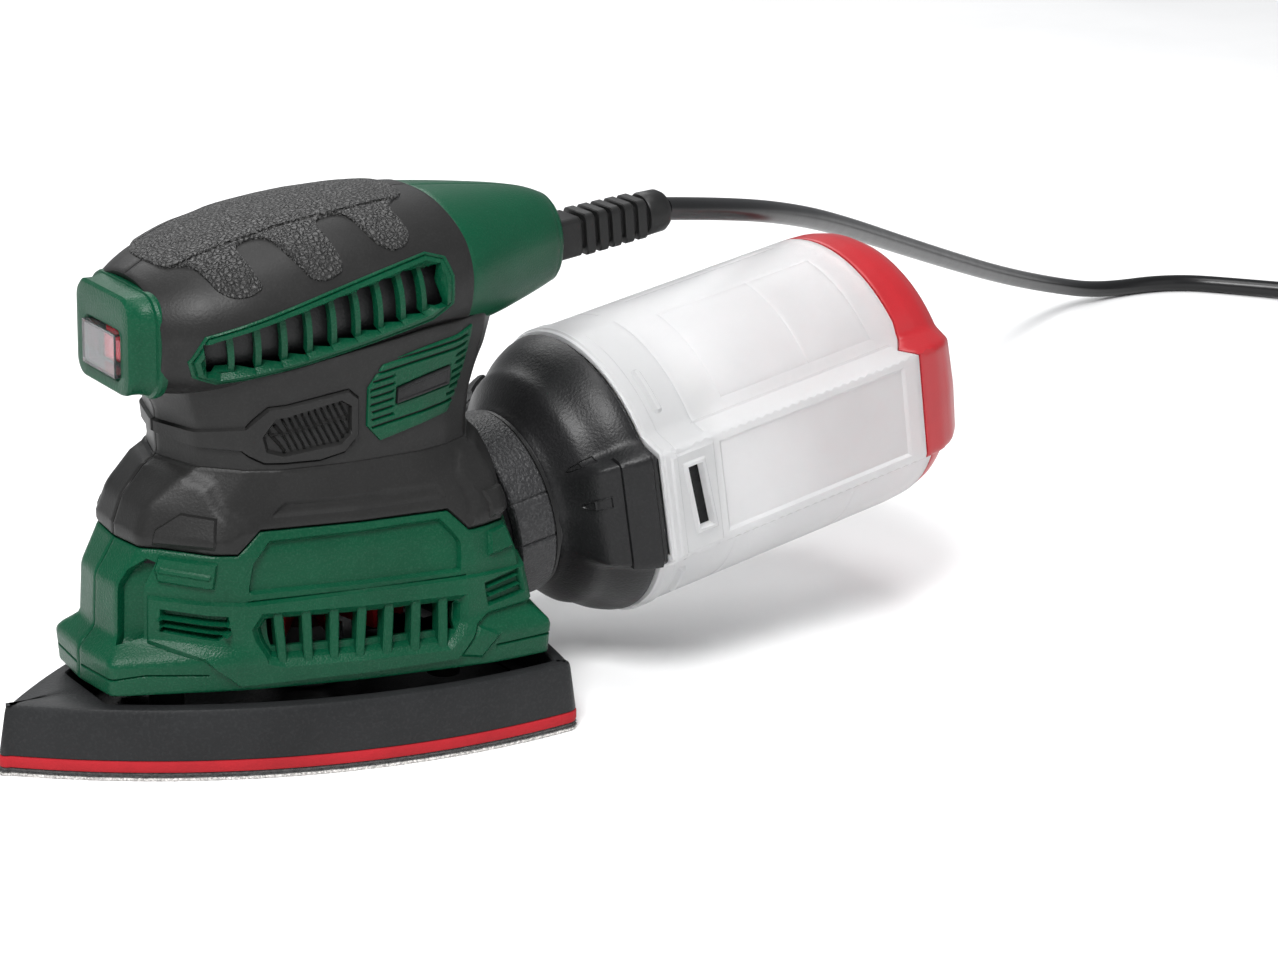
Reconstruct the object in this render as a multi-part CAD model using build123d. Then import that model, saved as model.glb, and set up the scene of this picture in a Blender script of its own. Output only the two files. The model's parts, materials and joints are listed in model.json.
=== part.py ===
from build123d import *
import os
from math import atan2, cos, degrees, hypot, pi, radians, sin, tan

# Detail (mouse) sander with dust box and mains lead. Millimetres.
# Origin: centre of the sanding face. Nose towards -X, dust box towards +X, +Z up.
# The machine is symmetric about Y = 0.

# ---------------------------------------------------------------- driving dimensions
WALL = 2.4                      # moulded shell wall
GRIP = 1.6                      # soft overmould thickness over the shell
MOTOR_X = 12.0                  # motor shaft axis
ORBIT = 1.0                     # eccentric offset: half the orbit diameter
PIN_X = MOTOR_X + ORBIT
RUNNING = 0.02                  # radial clearance of running fits
GAP = 0.4                       # gap between pieces that move past each other

PLATE_TIP_X = -74.0
PLATE_REAR_X = 74.0
PLATE_CORNER = (66.0, 50.0)
PLATE_TOP_Z = 18.6
PLATE_BOTTOM_Z = 5.4
PLATE_FLARE = 1.9
PAD_BOTTOM_Z = 2.2
HOOK_BOTTOM_Z = 1.0
PLATE_FLOOR_Z = 9.0

COLLAR_CENTRE = (75.1, 0.0, 47.9)   # rear face of the dust collar
DUST_TILT = 10.2                    # dust axis rises towards the rear, degrees
COLLAR_R = 26.1
COLLAR_BORE_R = 22.0
COLLAR_LENGTH = 11.4

CORD_R = 3.25
RELIEF_START = Vector(82.0, 0, 119.3)
CORD_EXIT = Vector(125.0, 0, 123.9)

# Lower housing: height, then half outline as nose centre, nose corner, front side
# corner, rear side corner, rear corner, rear centre.
LOWER_LEVELS = [
    (21.5, [(-52, 0), (-50.5, 15.5), (-24, 27), (42, 43), (61, 45), (68, 0)]),
    (30.5, [(-52, 0), (-51, 16.5), (-25, 29), (42, 44.5), (61.5, 45.5), (69, 0)]),
    (34.5, [(-47.5, 0), (-46.5, 11), (-27, 25.5), (41, 42), (56.5, 41), (66, 0)]),
    (49.0, [(-47, 0), (-46, 10.5), (-27, 26), (39, 41), (54.5, 38), (66, 0)]),
    (57.0, [(-42, 0), (-41, 12), (-26, 26.5), (37, 39.5), (52, 35), (64, 0)]),
    (68.0, [(-38, 0), (-37, 11), (-20, 25), (35, 35), (50, 31), (62, 0)]),
    (78.0, [(-29.5, 0), (-25, 14), (-10, 27), (33, 30), (46, 25), (57, 0)]),
    (90.0, [(-30, 0), (-25, 15), (-10, 27), (32, 30), (46, 25), (58, 0)]),
    (98.0, [(-34, 0), (-29, 16), (-12, 28.5), (32, 30.5), (49, 23), (64, 0)]),
    (106.0, [(-35, 0), (-30, 17), (-12, 29), (32, 30.5), (50, 22), (66, 0)]),
]
# Handle: station x, top z, bottom z, half width, height of the widest point.
HANDLE_STATIONS = [
    (-38, 125, 97, 19, 112),
    (-33, 129.5, 96.3, 25, 113),
    (-20, 136, 95.5, 30.5, 114),
    (10, 141.2, 97, 33, 117),
    (40, 140, 101, 31, 119),
    (60, 136.8, 103.5, 24, 120),
    (74, 135, 106, 16.5, 121),
    (84, 131, 108.5, 11.5, 120),
]
HANDLE_POINTS = 20
# Dust adapter and dust box: distance along the dust axis, radius, half width of
# the flat sides (None where the section is round).
ADAPTER_STATIONS = [(1.5, 26.0, None), (4, 29.0, None), (12, 35.5, None), (23.5, 40.0, 42.3)]
BOX_STATIONS = [(24, 40.8, 43.2), (113.5, 40.8, 43.5)]
CAP_STATIONS = [(113.8, 40.8, 43.5), (126, 39.0, 41.8), (132, 33, 34.5), (136.5, 21, None)]
RIM_SECTION = (40.8, 43.2)          # box mouth, which the adapter's rim slides into

os.makedirs("parts", exist_ok=True)
nodes = {}


# ---------------------------------------------------------------- helpers
def cylinder(r, z0, z1, x=MOTOR_X, y=0.0):
    return Pos(x, y, (z0 + z1) / 2) * Cylinder(r, z1 - z0)


def tube(r_out, r_in, z0, z1, x=MOTOR_X, y=0.0):
    return cylinder(r_out, z0, z1, x, y) - cylinder(r_in, z0 - 1, z1 + 1, x, y)


def block(x0, x1, y0, y1, z0, z1):
    return Pos((x0 + x1) / 2, (y0 + y1) / 2, (z0 + z1) / 2) * Box(x1 - x0, y1 - y0, z1 - z0)


def inset(points, d):
    """Move every edge of a closed polygon, drawn anticlockwise, inwards by d."""
    out = []
    n = len(points)
    for i in range(n):
        (x0, y0), (x1, y1), (x2, y2) = points[i - 1], points[i], points[(i + 1) % n]
        a = hypot(x1 - x0, y1 - y0)
        b = hypot(x2 - x1, y2 - y1)
        n0 = (-(y1 - y0) / a, (x1 - x0) / a)
        n1 = (-(y2 - y1) / b, (x2 - x1) / b)
        k = d / (1 + n0[0] * n1[0] + n0[1] * n1[1])
        out.append((x1 + k * (n0[0] + n1[0]), y1 + k * (n0[1] + n1[1])))
    return out


def ruled(sections):
    wires = [Wire.make_polygon([Vector(*p) for p in s], close=True) for s in sections]
    return Solid.make_loft(wires, ruled=True)


def lower_body(d, first=0, last=None, extend=0.0):
    """Lower housing shape, inset by d; extend lengthens it below for cutting."""
    sections = []
    for z, half in LOWER_LEVELS[first:last]:
        ring = [(x, -y) for x, y in half] + [(x, y) for x, y in reversed(half[1:-1])]
        sections.append([(x, y, z) for x, y in inset(ring, d)])
    if extend:
        low = sections[0]
        sections.insert(0, [(x, y, z - extend) for x, y, z in low])
    return ruled(sections)


def handle_ring(top, bottom, half_width, wide):
    ring = []
    for k in range(HANDLE_POINTS):
        a = 2 * pi * k / HANDLE_POINTS
        c, s = cos(a), sin(a)
        rise = (top - wide) * c if c > 0 else -(wide - bottom) * abs(c) ** 0.9
        side = half_width * (1 if s > 0 else -1) * abs(s) ** 0.85
        ring.append((-side, wide + rise))
    return ring


def handle_body(d):
    sections = []
    for x, top, bottom, half_width, wide in HANDLE_STATIONS:
        ring = inset(handle_ring(top, bottom, half_width, wide), d)
        sections.append([(x, y, z) for y, z in ring])
    return ruled(sections)


DUST = Plane(origin=COLLAR_CENTRE, x_dir=(0, 1, 0),
             z_dir=(cos(radians(DUST_TILT)), 0, sin(radians(DUST_TILT))))


def dust_cylinder(r, t0, t1):
    return DUST * (Pos(0, 0, (t0 + t1) / 2) * Cylinder(r, t1 - t0))


def dust_tube(r_out, r_in, t0, t1):
    return dust_cylinder(r_out, t0, t1) - dust_cylinder(r_in, t0 - 1, t1 + 1)


def dust_ring(radius, flat):
    """Round section with flat upright sides: local x is across, local y is up."""
    if flat is None:
        flat = radius
    upper, lower = 21.0, -15.0
    ring = []
    for k in range(24):
        a = 2 * pi * k / 24 + pi / 24
        x, y = radius * cos(a), radius * sin(a)
        if flat > radius and lower < y < upper:
            x = flat if x > 0 else -flat
        ring.append((x, y))
    return ring


def dust_shape(stations, d, lead=0.0, tail=0.0):
    sections = []
    spread = list(stations)
    if lead:
        spread.insert(0, (stations[0][0] - lead, stations[0][1], stations[0][2]))
    if tail:
        spread.append((stations[-1][0] + tail, stations[-1][1], stations[-1][2]))
    for t, radius, flat in spread:
        ring = inset(dust_ring(radius, flat), d)
        sections.append([DUST.from_local_coords(Vector(x, y, t)) for x, y in ring])
    wires = [Wire.make_polygon(s, close=True) for s in sections]
    return Solid.make_loft(wires, ruled=True)


def slanted_slots(x0, x1, z0, z1, count, width, height, y0, y1):
    """A row of upright slots along X whose height line climbs from z0 to z1."""
    cuts = []
    for i in range(count):
        f = i / (count - 1)
        x = x0 + (x1 - x0) * f
        z = z0 + (z1 - z0) * f
        cuts.append(block(x - width / 2, x + width / 2, y0, y1, z - height / 2, z + height / 2))
    return cuts


def prism_y(points, y0, y1):
    """Closed outline in XZ, stretched from y0 to y1."""
    face = make_face(Polyline(*[(x, y0, z) for x, z in points], close=True))
    return extrude(face, amount=y1 - y0, dir=(0, 1, 0))


def halves(shape, name):
    big = 400
    nodes[name + "_left"] = shape & block(-big, big, -big, 0, -big, big)
    nodes[name + "_right"] = shape & block(-big, big, 0, big, -big, big)


# ---------------------------------------------------------------- sanding plate and pad
def plate_outline(grow, z):
    corner_x, corner_y = PLATE_CORNER
    tip_half = 1.7
    side_mid = (-7.8, 39.5)
    tip_x = PLATE_TIP_X + 2.0
    start = Vector(tip_x, -tip_half)
    with BuildSketch(Plane.XY.offset(z)) as sketch:
        with BuildLine():
            ThreePointArc((tip_x, tip_half), (PLATE_TIP_X, 0), start)
            ThreePointArc(start, (side_mid[0], -side_mid[1]), (corner_x, -corner_y))
            ThreePointArc((corner_x, -corner_y), (PLATE_REAR_X, 0), (corner_x, corner_y))
            ThreePointArc((corner_x, corner_y), side_mid, (tip_x, tip_half))
        make_face()
        rear = sketch.vertices().sort_by(Axis.X)[-2:]
        fillet(rear, 5)
        if grow:
            offset(amount=grow)
    return sketch.sketch.faces()[0]


def slab(z0, z1, grow=0.0):
    return extrude(plate_outline(grow, z0), amount=z1 - z0)


DUST_HOLES = [(-38, 0), (-8, 22), (-8, -22), (44, 32), (44, -32), (52, 0)]
DUST_HOLE_R = 4.5
LEG_SPOTS = [(-32, 9), (-32, -9), (44, 20), (44, -20)]
LEG_R = 4.5
SOCKET_R = 6.3


def drill(shape, z0, z1):
    for x, y in DUST_HOLES:
        shape = shape - cylinder(DUST_HOLE_R, z0 - 1, z1 + 1, x, y)
    return shape


flare = degrees(atan2(PLATE_FLARE, PLATE_TOP_Z - PLATE_BOTTOM_Z))
plate = extrude(plate_outline(0, PLATE_BOTTOM_Z), amount=PLATE_TOP_Z - PLATE_BOTTOM_Z, taper=flare)
recess = extrude(plate_outline(-5.5, PLATE_FLOOR_Z), amount=20) - block(-90, -50, -60, 60, 0, 40)
plate = plate - recess
HUB_R = 13.0
plate = plate + cylinder(HUB_R, PLATE_FLOOR_Z - 1, 17, PIN_X)
plate = plate - cylinder(9.5, PLATE_FLOOR_Z, 18, PIN_X)
for x, y in LEG_SPOTS:
    plate = plate + cylinder(SOCKET_R + 1.8, PLATE_FLOOR_Z - 1, 16, x + ORBIT, y)
    plate = plate - cylinder(SOCKET_R, PLATE_FLOOR_Z + 1, 20, x + ORBIT, y)
nodes["sanding_plate"] = drill(plate, PLATE_BOTTOM_Z, PLATE_TOP_Z)
nodes["foam_pad"] = drill(slab(PAD_BOTTOM_Z, PLATE_BOTTOM_Z), PAD_BOTTOM_Z, PLATE_BOTTOM_Z)
nodes["hook_layer"] = drill(slab(HOOK_BOTTOM_Z, PAD_BOTTOM_Z, -0.3), HOOK_BOTTOM_Z, PAD_BOTTOM_Z)
nodes["sanding_sheet"] = drill(slab(0, HOOK_BOTTOM_Z, -0.1), 0, HOOK_BOTTOM_Z)

# ---------------------------------------------------------------- housing and overmoulds
lower_outer = lower_body(0)
handle_outer = handle_body(0)
outer = lower_outer + handle_outer
under_grip = lower_body(GRIP) + handle_body(GRIP)
inner = lower_body(GRIP + WALL, extend=5) + handle_body(GRIP + WALL)

SHOULDER_Z = 58.0
GRIP_END_X = 52.0
grip_zone = block(-80, GRIP_END_X, -60, 60, 79, 160) + block(-80, 49, -60, 60, 79, 100)
shoulder_zone = block(-80, 90, -60, 60, SHOULDER_Z, 79)
skin = outer - under_grip
grip = skin & grip_zone
shoulder = skin & shoulder_zone
core = (outer - inner) - grip_zone - shoulder_zone
core = core + ((under_grip - inner) & (grip_zone + shoulder_zone))

# palm pad: a textured spine with side lobes, let into the top of the grip
PAD_OUTLINE = [
    (-29, 8), (-22, 20), (-14, 22), (-10, 12), (-3, 13), (3, 24), (11, 24), (15, 13),
    (21, 13), (27, 22), (34, 20), (37, 9), (43, 6),
]
pad_points = PAD_OUTLINE + [(x, -y) for x, y in reversed(PAD_OUTLINE)]
pad_prism = extrude(make_face(Polyline(*[(x, y, 118) for x, y in pad_points], close=True)), 40)
nodes["palm_pad"] = (handle_outer - handle_body(0.8)) & pad_prism
grip = grip - (nodes["palm_pad"] + (pad_prism & block(-80, 80, -60, 60, 141, 160)))

# handle vents: an elongated six-sided green frame with upright slots
VENT_OUTLINE = [(-36, 107), (-31, 101.5), (32, 110.5), (38, 117), (37.5, 126), (31, 131.5),
                (-31, 117), (-36, 112)]
vent_prism = prism_y(VENT_OUTLINE, -60, 60)
vent_frame = (handle_outer - handle_body(GRIP)) & vent_prism
grip = grip - vent_prism
HANDLE_SLOTS = slanted_slots(-29, 33, 109.2, 121.0, 10, 4.0, 9.0, -60, 60)
for slot in HANDLE_SLOTS:
    vent_frame = vent_frame - slot
    core = core - slot
halves(vent_frame, "handle_vent")
core = core - vent_frame

# ribbed rear panel on each side of the neck
PANEL_OUTLINE = [(13, 84), (17, 81), (42, 86), (44, 89), (46, 106), (43, 109), (17, 102), (13, 98)]
panel_prism = prism_y(PANEL_OUTLINE, -60, 60)
panels = grip & panel_prism
grip = grip - panel_prism
halves(panels, "rear_panel")

# skirt vents: upright slots in front of the fan
for slot in slanted_slots(-19, 34, 41.0, 38.5, 8, 5.2, 11.0, -60, 60):
    core = core - slot

# front opening for the switch, rear opening for the dust collar and the lead
BEZEL_BACK_X = -37.0
BEZEL_FRONT_X = -43.5
WINDOW_LOW_Z = 101.6            # window for the rocker and its clear cover
WINDOW_HIGH_Z = 113.4
WINDOW_HALF = 9.2
front_cut = block(-60, -30, -11, 11, 101, 118) + block(-60, BEZEL_BACK_X, -40, 40, 92, 135)
core = core - front_cut
grip = grip - front_cut
SCREW_SPOTS = [(-37, 43), (-22, 62), (46, 54), (-16, 84), (42, 88), (66, 112)]
SCREW_LENGTH = 13.0
SCREW_R = 1.6
BOSS_R = 3.4


def across(radius, x, z):
    """Cylinder along Y through the middle plane."""
    return Pos(x, 0, z) * Rot(90, 0, 0) * Cylinder(radius, SCREW_LENGTH)


screws = [across(SCREW_R, x, z) for x, z in SCREW_SPOTS]
bosses = [across(BOSS_R, x, z) - across(SCREW_R, x, z) for x, z in SCREW_SPOTS]
for x, z in SCREW_SPOTS:
    core = core - across(BOSS_R, x, z)
collar_cut = dust_cylinder(COLLAR_R + 0.05, -30, 40)
lead_cut = Pos(84, 0, 119.6) * Box(16, 13, 13)
core = core - collar_cut - lead_cut
shoulder = shoulder - collar_cut
halves(core, "housing")
halves(grip, "grip")
halves(shoulder, "shoulder")

# base plate that closes the skirt above the pad
base = lower_body(GRIP + WALL + 0.1, 0, 2) & block(-90, 90, -60, 60, 22.5, 25)
base = base - cylinder(22, 20, 30)
base = base - dust_cylinder(COLLAR_BORE_R + 0.2, -40, 0)
nodes["base_plate"] = base

# ---------------------------------------------------------------- switch
bezel = ruled([
    [(BEZEL_BACK_X, y, z) for y, z in [(-19, 101), (-15, 96.5), (15, 96.5), (19, 101),
                                       (19, 119), (13, 125), (-13, 125), (-19, 119)]],
    [(BEZEL_FRONT_X, y, z) for y, z in [(-13.5, 102), (-10.5, 98.5), (10.5, 98.5), (13.5, 102),
                                        (13.5, 117), (10, 121), (-10, 121), (-13.5, 117)]],
])


def window(x0, x1, margin):
    """Block through the switch window, smaller than it by margin on every side."""
    half = WINDOW_HALF - margin
    return block(x0, x1, -half, half, WINDOW_LOW_Z + margin, WINDOW_HIGH_Z - margin)


nodes["switch_bezel"] = bezel - window(-50, -30, 0)
nodes["switch_cover"] = window(-44.6, -40, 0.3) - window(-43.8, -39, 1.1)
nodes["switch_body"] = window(-36.5, -20, 0) - window(-37, -31, 1.2)
ROCKER_X = -35.0
ROCKER_HALF = 6.4
low_z, high_z = WINDOW_LOW_Z + 1.7, WINDOW_HIGH_Z - 1.7
raised = [(-41, low_z + 1.8), (-39, low_z), (ROCKER_X, low_z), (ROCKER_X, high_z), (-39, high_z),
          (-41, high_z - 1.8)]
rocker = mirror(prism_y(raised, 0, ROCKER_HALF), about=Plane.XZ)
rocker = rocker + block(-39.2, ROCKER_X, -0.5, ROCKER_HALF, low_z, high_z)
nodes["rocker_switch"] = rocker - cylinder(1.0, 95, 120, ROCKER_X - 1.5, 0)
nodes["rocker_pin"] = cylinder(1.0 - RUNNING, WINDOW_LOW_Z + 1.2, WINDOW_HIGH_Z - 1.2, ROCKER_X - 1.5, 0)

# ---------------------------------------------------------------- motor
SHAFT_R = 4.0
nodes["stator_core"] = tube(24, 15.8, 58, 86)
nodes["field_coils"] = tube(22.5, 16.5, 52.5, 58) + tube(22.5, 16.5, 86, 91.5)
nodes["motor_shaft"] = cylinder(SHAFT_R, 29.5, 114)
nodes["rotor_core"] = tube(15.2, SHAFT_R, 58, 86)
nodes["rotor_windings"] = tube(13, SHAFT_R, 51.5, 58) + tube(13, SHAFT_R, 86, 92)
nodes["commutator"] = tube(9, SHAFT_R, 93, 104)
nodes["lower_bearing"] = tube(11, SHAFT_R + RUNNING, 43.5, 50.5)
nodes["upper_bearing"] = tube(11, SHAFT_R + RUNNING, 107, 114)
nodes["bearing_plate"] = tube(27, 11, 43.5, 48.5)
brush_holders = []
for side in (1, -1):
    y0, y1 = sorted((side * 9.2, side * 19))
    nodes["brush_" + ("right" if side > 0 else "left")] = block(
        MOTOR_X - 3, MOTOR_X + 3, y0, y1, 95.5, 101.5)
    h0, h1 = sorted((side * 11, side * 21))
    holder = block(MOTOR_X - 4.5, MOTOR_X + 4.5, h0, h1, 94, 103)
    hole = block(MOTOR_X - 3, MOTOR_X + 3, *sorted((side * 9, side * 19)), 95.5, 101.5)
    brush_holders.append(holder - hole)
nodes["brush_holders"] = Compound(brush_holders)

FAN_R = 29.0
fan = tube(FAN_R, SHAFT_R, 39.5, 41) + tube(8, SHAFT_R, 31, 40)
BLADES = 14
for i in range(BLADES):
    blade = Pos(19.5, 0, 35.5) * Box(18, 1.4, 9)
    fan = fan + Pos(MOTOR_X, 0, 0) * Rot(0, 0, 360 * i / BLADES) * blade
nodes["fan"] = fan
counterweight = cylinder(17, 24, 29.5) & block(MOTOR_X - 20, MOTOR_X + 3, -20, 20, 20, 30)
eccentric = cylinder(8, 22, 29.5) + counterweight + cylinder(SHAFT_R, 9.6, 23, PIN_X)
nodes["eccentric"] = eccentric
nodes["eccentric_bearing"] = tube(9.5, SHAFT_R + RUNNING, 9.6, 16.6, PIN_X)

# ---------------------------------------------------------------- flexible legs and screws
legs = [cylinder(LEG_R, 11, 22.5, x, y) for x, y in LEG_SPOTS]
nodes["flexible_legs"] = Compound(legs)
nodes["leg_screws"] = Compound([cylinder(2.5, 25, 27.5, x, y) for x, y in LEG_SPOTS])
nodes["housing_screws"] = Compound(screws)
nodes["screw_bosses"] = Compound(bosses)

# ---------------------------------------------------------------- dust path
nodes["dust_collar"] = dust_tube(COLLAR_R, COLLAR_BORE_R, -COLLAR_LENGTH, 0)
nodes["dust_duct"] = dust_tube(COLLAR_BORE_R, COLLAR_BORE_R - 2, -24, -COLLAR_LENGTH)
nodes["adapter_seal"] = dust_tube(25.5, 22.4, 0.3, 1.2)
SPIGOT_R = COLLAR_BORE_R - 0.07
shell = dust_shape(ADAPTER_STATIONS, 0)
shell = shell - dust_shape(ADAPTER_STATIONS, 2.4, lead=1, tail=1)
spigot = dust_tube(SPIGOT_R, 19.6, -10.5, 3.0)
flange = dust_tube(25.4, 19.6, 1.5, 4.0)
BOX_WALL = 2.2
RIM_INSET = 4.4
rim_stations = [(22.5, *RIM_SECTION), (42, *RIM_SECTION)]
rim = dust_shape(rim_stations, BOX_WALL + GAP)
rim = rim - dust_shape(rim_stations, RIM_INSET, lead=1, tail=1)
nodes["dust_adapter"] = shell + spigot + flange + rim
FILTER = 50.0                # side of the square filter cassette
PLEATS = 9
PLEAT_PITCH = 5.5
nodes["filter_frame"] = dust_shape([(42, *RIM_SECTION), (45, *RIM_SECTION)], RIM_INSET)
nodes["filter_frame"] = nodes["filter_frame"] - DUST * (Pos(0, 0, 43.5) * Box(FILTER, FILTER, 10))
pleats = []
for i in range(PLEATS):
    rise = (i - (PLEATS - 1) / 2) * PLEAT_PITCH
    pleats.append(DUST * (Pos(0, rise, 47.0) * Box(FILTER, 2.4, 14)))
pleats.append(DUST * (Pos(0, 0, 41.5) * Box(FILTER, FILTER, 3)))
nodes["filter_pleats"] = Compound(pleats[:-1]).fuse(pleats[-1])

container = dust_shape(BOX_STATIONS, 0) - dust_shape(BOX_STATIONS, BOX_WALL, lead=1, tail=1)
for side in (1, -1):
    slot = DUST * (Pos(side * 43, -2, 34) * Box(8, 18, 4.0))
    container = container - slot
nodes["dust_box"] = container
cap_inner = [(t - 2.0 if i else t, r, f) for i, (t, r, f) in enumerate(CAP_STATIONS)]
cap = dust_shape(CAP_STATIONS, 0) - dust_shape(cap_inner, 2.4, lead=1)
nodes["dust_cap"] = cap

# ---------------------------------------------------------------- mains lead: a loose
# stretch down to the table, then a coil of two layers with three turns in each
relief_axis = (CORD_EXIT - RELIEF_START).normalized()
relief_length = (CORD_EXIT - RELIEF_START).length
relief_plane = Plane(origin=RELIEF_START, x_dir=(0, 1, 0), z_dir=relief_axis)
relief_parts = [
    Pos(0, 0, 6) * Box(12.4, 12.4, 12),
    Pos(0, 0, relief_length / 2) * Cone(6.2, 4.9, relief_length),
]
for i in range(5):
    relief_parts.append(Pos(0, 0, 17 + 4.0 * i) * Cylinder(6.4 - 0.2 * i, 2.2))
relief_parts.append(Pos(0, 0, relief_length - 2.5) * Cylinder(6.0, 5))
nodes["strain_relief"] = relief_plane * (relief_parts[0] + relief_parts[1:])
nodes["cord_clamp"] = block(64, 74, -7, 7, 122.4, 125.4)

ROUTE = [
    CORD_EXIT,
    Vector(159, 12, 117.7),
    Vector(204, 38, 105),
    Vector(248, 68, 89.4),
    Vector(298, 102, 70.5),
    Vector(353, 138, 50),
    Vector(408, 172, 30),
    Vector(460, 200, 13),
    Vector(497, 210.5, CORD_R + 0.1),
    Vector(535, 208, CORD_R + 0.1),
    Vector(556, 186, CORD_R + 0.3),
]
COIL_BASE = 1.2
PITCH = 2 * CORD_R + 0.2
COIL_MID_R = 36.0
COIL_OUTER_R = COIL_MID_R + PITCH
ENTRY_HEADING = radians(-52.0)
ENTRY = Vector(590.5, 140.5, COIL_BASE + CORD_R)
COIL_CENTRE = ENTRY + Vector(-sin(ENTRY_HEADING), cos(ENTRY_HEADING), 0) * COIL_OUTER_R
COIL_TOP = COIL_BASE + 2 * CORD_R + PITCH
entry_back = Vector(cos(ENTRY_HEADING), sin(ENTRY_HEADING), 0) * -12
ROUTE.append(ENTRY + entry_back)


def corner_radii(points):
    radii = []
    for a, b, c in zip(points, points[1:], points[2:]):
        first, second = b - a, c - b
        turn = radians(first.get_angle(second))
        radii.append(0.45 * min(first.length, second.length) / tan(turn / 2))
    return radii


def sweep_tube(points, radius):
    path = FilletPolyline(*points, radius=corner_radii(points))
    start = Plane(origin=points[0], z_dir=points[1] - points[0])
    return sweep(start * Circle(radius), path=path), path


print("cord radii", [round(r, 1) for r in corner_radii(ROUTE)])
lead, lead_path = sweep_tube(ROUTE, CORD_R)
print("lead length", lead_path.length, "volume ratio", lead.volume / (pi * CORD_R ** 2 * lead_path.length))
nodes["cord_lead"] = lead
coil_x, coil_y = COIL_CENTRE.X, COIL_CENTRE.Y
coil_out = COIL_OUTER_R + CORD_R
coil_in = COIL_MID_R - PITCH - CORD_R
nodes["cord_coil"] = tube(coil_out, coil_in, COIL_BASE, COIL_TOP, coil_x, coil_y)
TIE_ANGLE = 60.0
tie_outer = Pos(COIL_MID_R, 0, (COIL_TOP + COIL_BASE) / 2) * Box(
    coil_out - coil_in + 2.4, 12, COIL_TOP - COIL_BASE + 2 * COIL_BASE)
tie = Pos(coil_x, coil_y, 0) * Rot(0, 0, TIE_ANGLE) * tie_outer
nodes["cord_tie"] = tie - tube(coil_out, coil_in, COIL_BASE, COIL_TOP, coil_x, coil_y)

# plug: flat two-pin body, lying on the table beside the coil
EXIT_ANGLE = radians(232.0)
exit_dir = Vector(-sin(EXIT_ANGLE), cos(EXIT_ANGLE), 0)
exit_point = Vector(coil_x, coil_y, 0) + Vector(cos(EXIT_ANGLE), sin(EXIT_ANGLE), 0) * COIL_OUTER_R
PLUG_Z = 7.5
tail_start = exit_point + exit_dir * 14 + Vector(0, 0, COIL_TOP - CORD_R)
plug_back = exit_point + exit_dir * 34 + Vector(0, 0, PLUG_Z)
tail_dir = plug_back - tail_start
tail_plane = Plane(origin=tail_start, z_dir=tail_dir)
nodes["cord_tail"] = extrude(tail_plane * Circle(CORD_R), tail_dir.length)
plug_plane = Plane(origin=plug_back, x_dir=(-exit_dir.Y, exit_dir.X, 0), z_dir=exit_dir)
PLUG_LENGTH = 36.0
plug_body = plug_plane * (Pos(0, 0, PLUG_LENGTH / 2 + 10) * Box(30, 15, PLUG_LENGTH))
plug_relief = plug_plane * (Pos(0, 0, 5.5) * Cone(4.4, 6.6, 11))
nodes["plug_body"] = plug_body + plug_relief
pins = []
for side in (1, -1):
    pins.append(plug_plane * (Pos(side * 9.25, 0, PLUG_LENGTH + 10 + 9.5) * Cylinder(2.0, 19)))
nodes["plug_pins"] = Compound(pins)

# ---------------------------------------------------------------- write the parts
for name, shape in nodes.items():
    whole = Compound(list(shape)) if isinstance(shape, ShapeList) else shape
    export_step(whole, f"parts/{name}.step")
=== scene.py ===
import json
from math import atan2, ceil, cos, pi, radians, sin, sqrt

import bmesh
import bpy
import numpy as np
from mathutils import Matrix, Vector
from mathutils.geometry import delaunay_2d_cdt

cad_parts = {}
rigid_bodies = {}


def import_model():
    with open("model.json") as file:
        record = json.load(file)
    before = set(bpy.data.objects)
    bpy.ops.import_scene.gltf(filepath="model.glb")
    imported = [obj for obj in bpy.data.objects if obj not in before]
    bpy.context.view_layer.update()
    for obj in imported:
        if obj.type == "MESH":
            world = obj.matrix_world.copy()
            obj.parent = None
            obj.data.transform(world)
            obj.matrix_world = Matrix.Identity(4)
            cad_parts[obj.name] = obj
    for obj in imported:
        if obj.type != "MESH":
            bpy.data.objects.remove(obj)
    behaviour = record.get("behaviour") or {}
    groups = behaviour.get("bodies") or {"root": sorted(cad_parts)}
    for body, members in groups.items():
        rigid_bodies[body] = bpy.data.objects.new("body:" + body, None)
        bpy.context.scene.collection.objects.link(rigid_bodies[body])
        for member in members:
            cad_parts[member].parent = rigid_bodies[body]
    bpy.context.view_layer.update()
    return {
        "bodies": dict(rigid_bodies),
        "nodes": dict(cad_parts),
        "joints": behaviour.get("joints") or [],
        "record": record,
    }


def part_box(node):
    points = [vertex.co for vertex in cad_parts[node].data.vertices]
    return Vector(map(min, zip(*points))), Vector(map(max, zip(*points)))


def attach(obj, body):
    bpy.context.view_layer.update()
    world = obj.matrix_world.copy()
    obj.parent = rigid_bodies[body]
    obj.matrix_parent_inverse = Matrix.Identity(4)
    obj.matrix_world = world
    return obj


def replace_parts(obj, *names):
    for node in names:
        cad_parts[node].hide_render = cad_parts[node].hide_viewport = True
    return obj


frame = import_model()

MM = 0.001
NODES = frame["nodes"]


# ================================================================ camera
VIEW_TURN = radians(-35.68)
VIEW_RISE = radians(18.45)
VIEW_ROLL = radians(2.0)
VIEW_DISTANCE = 0.873
VIEW_TARGET = Vector((0.12034, 0.0, 0.0463))
SENSOR_WIDTH = 36.0
LENS_LENGTH = 87.4


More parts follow.
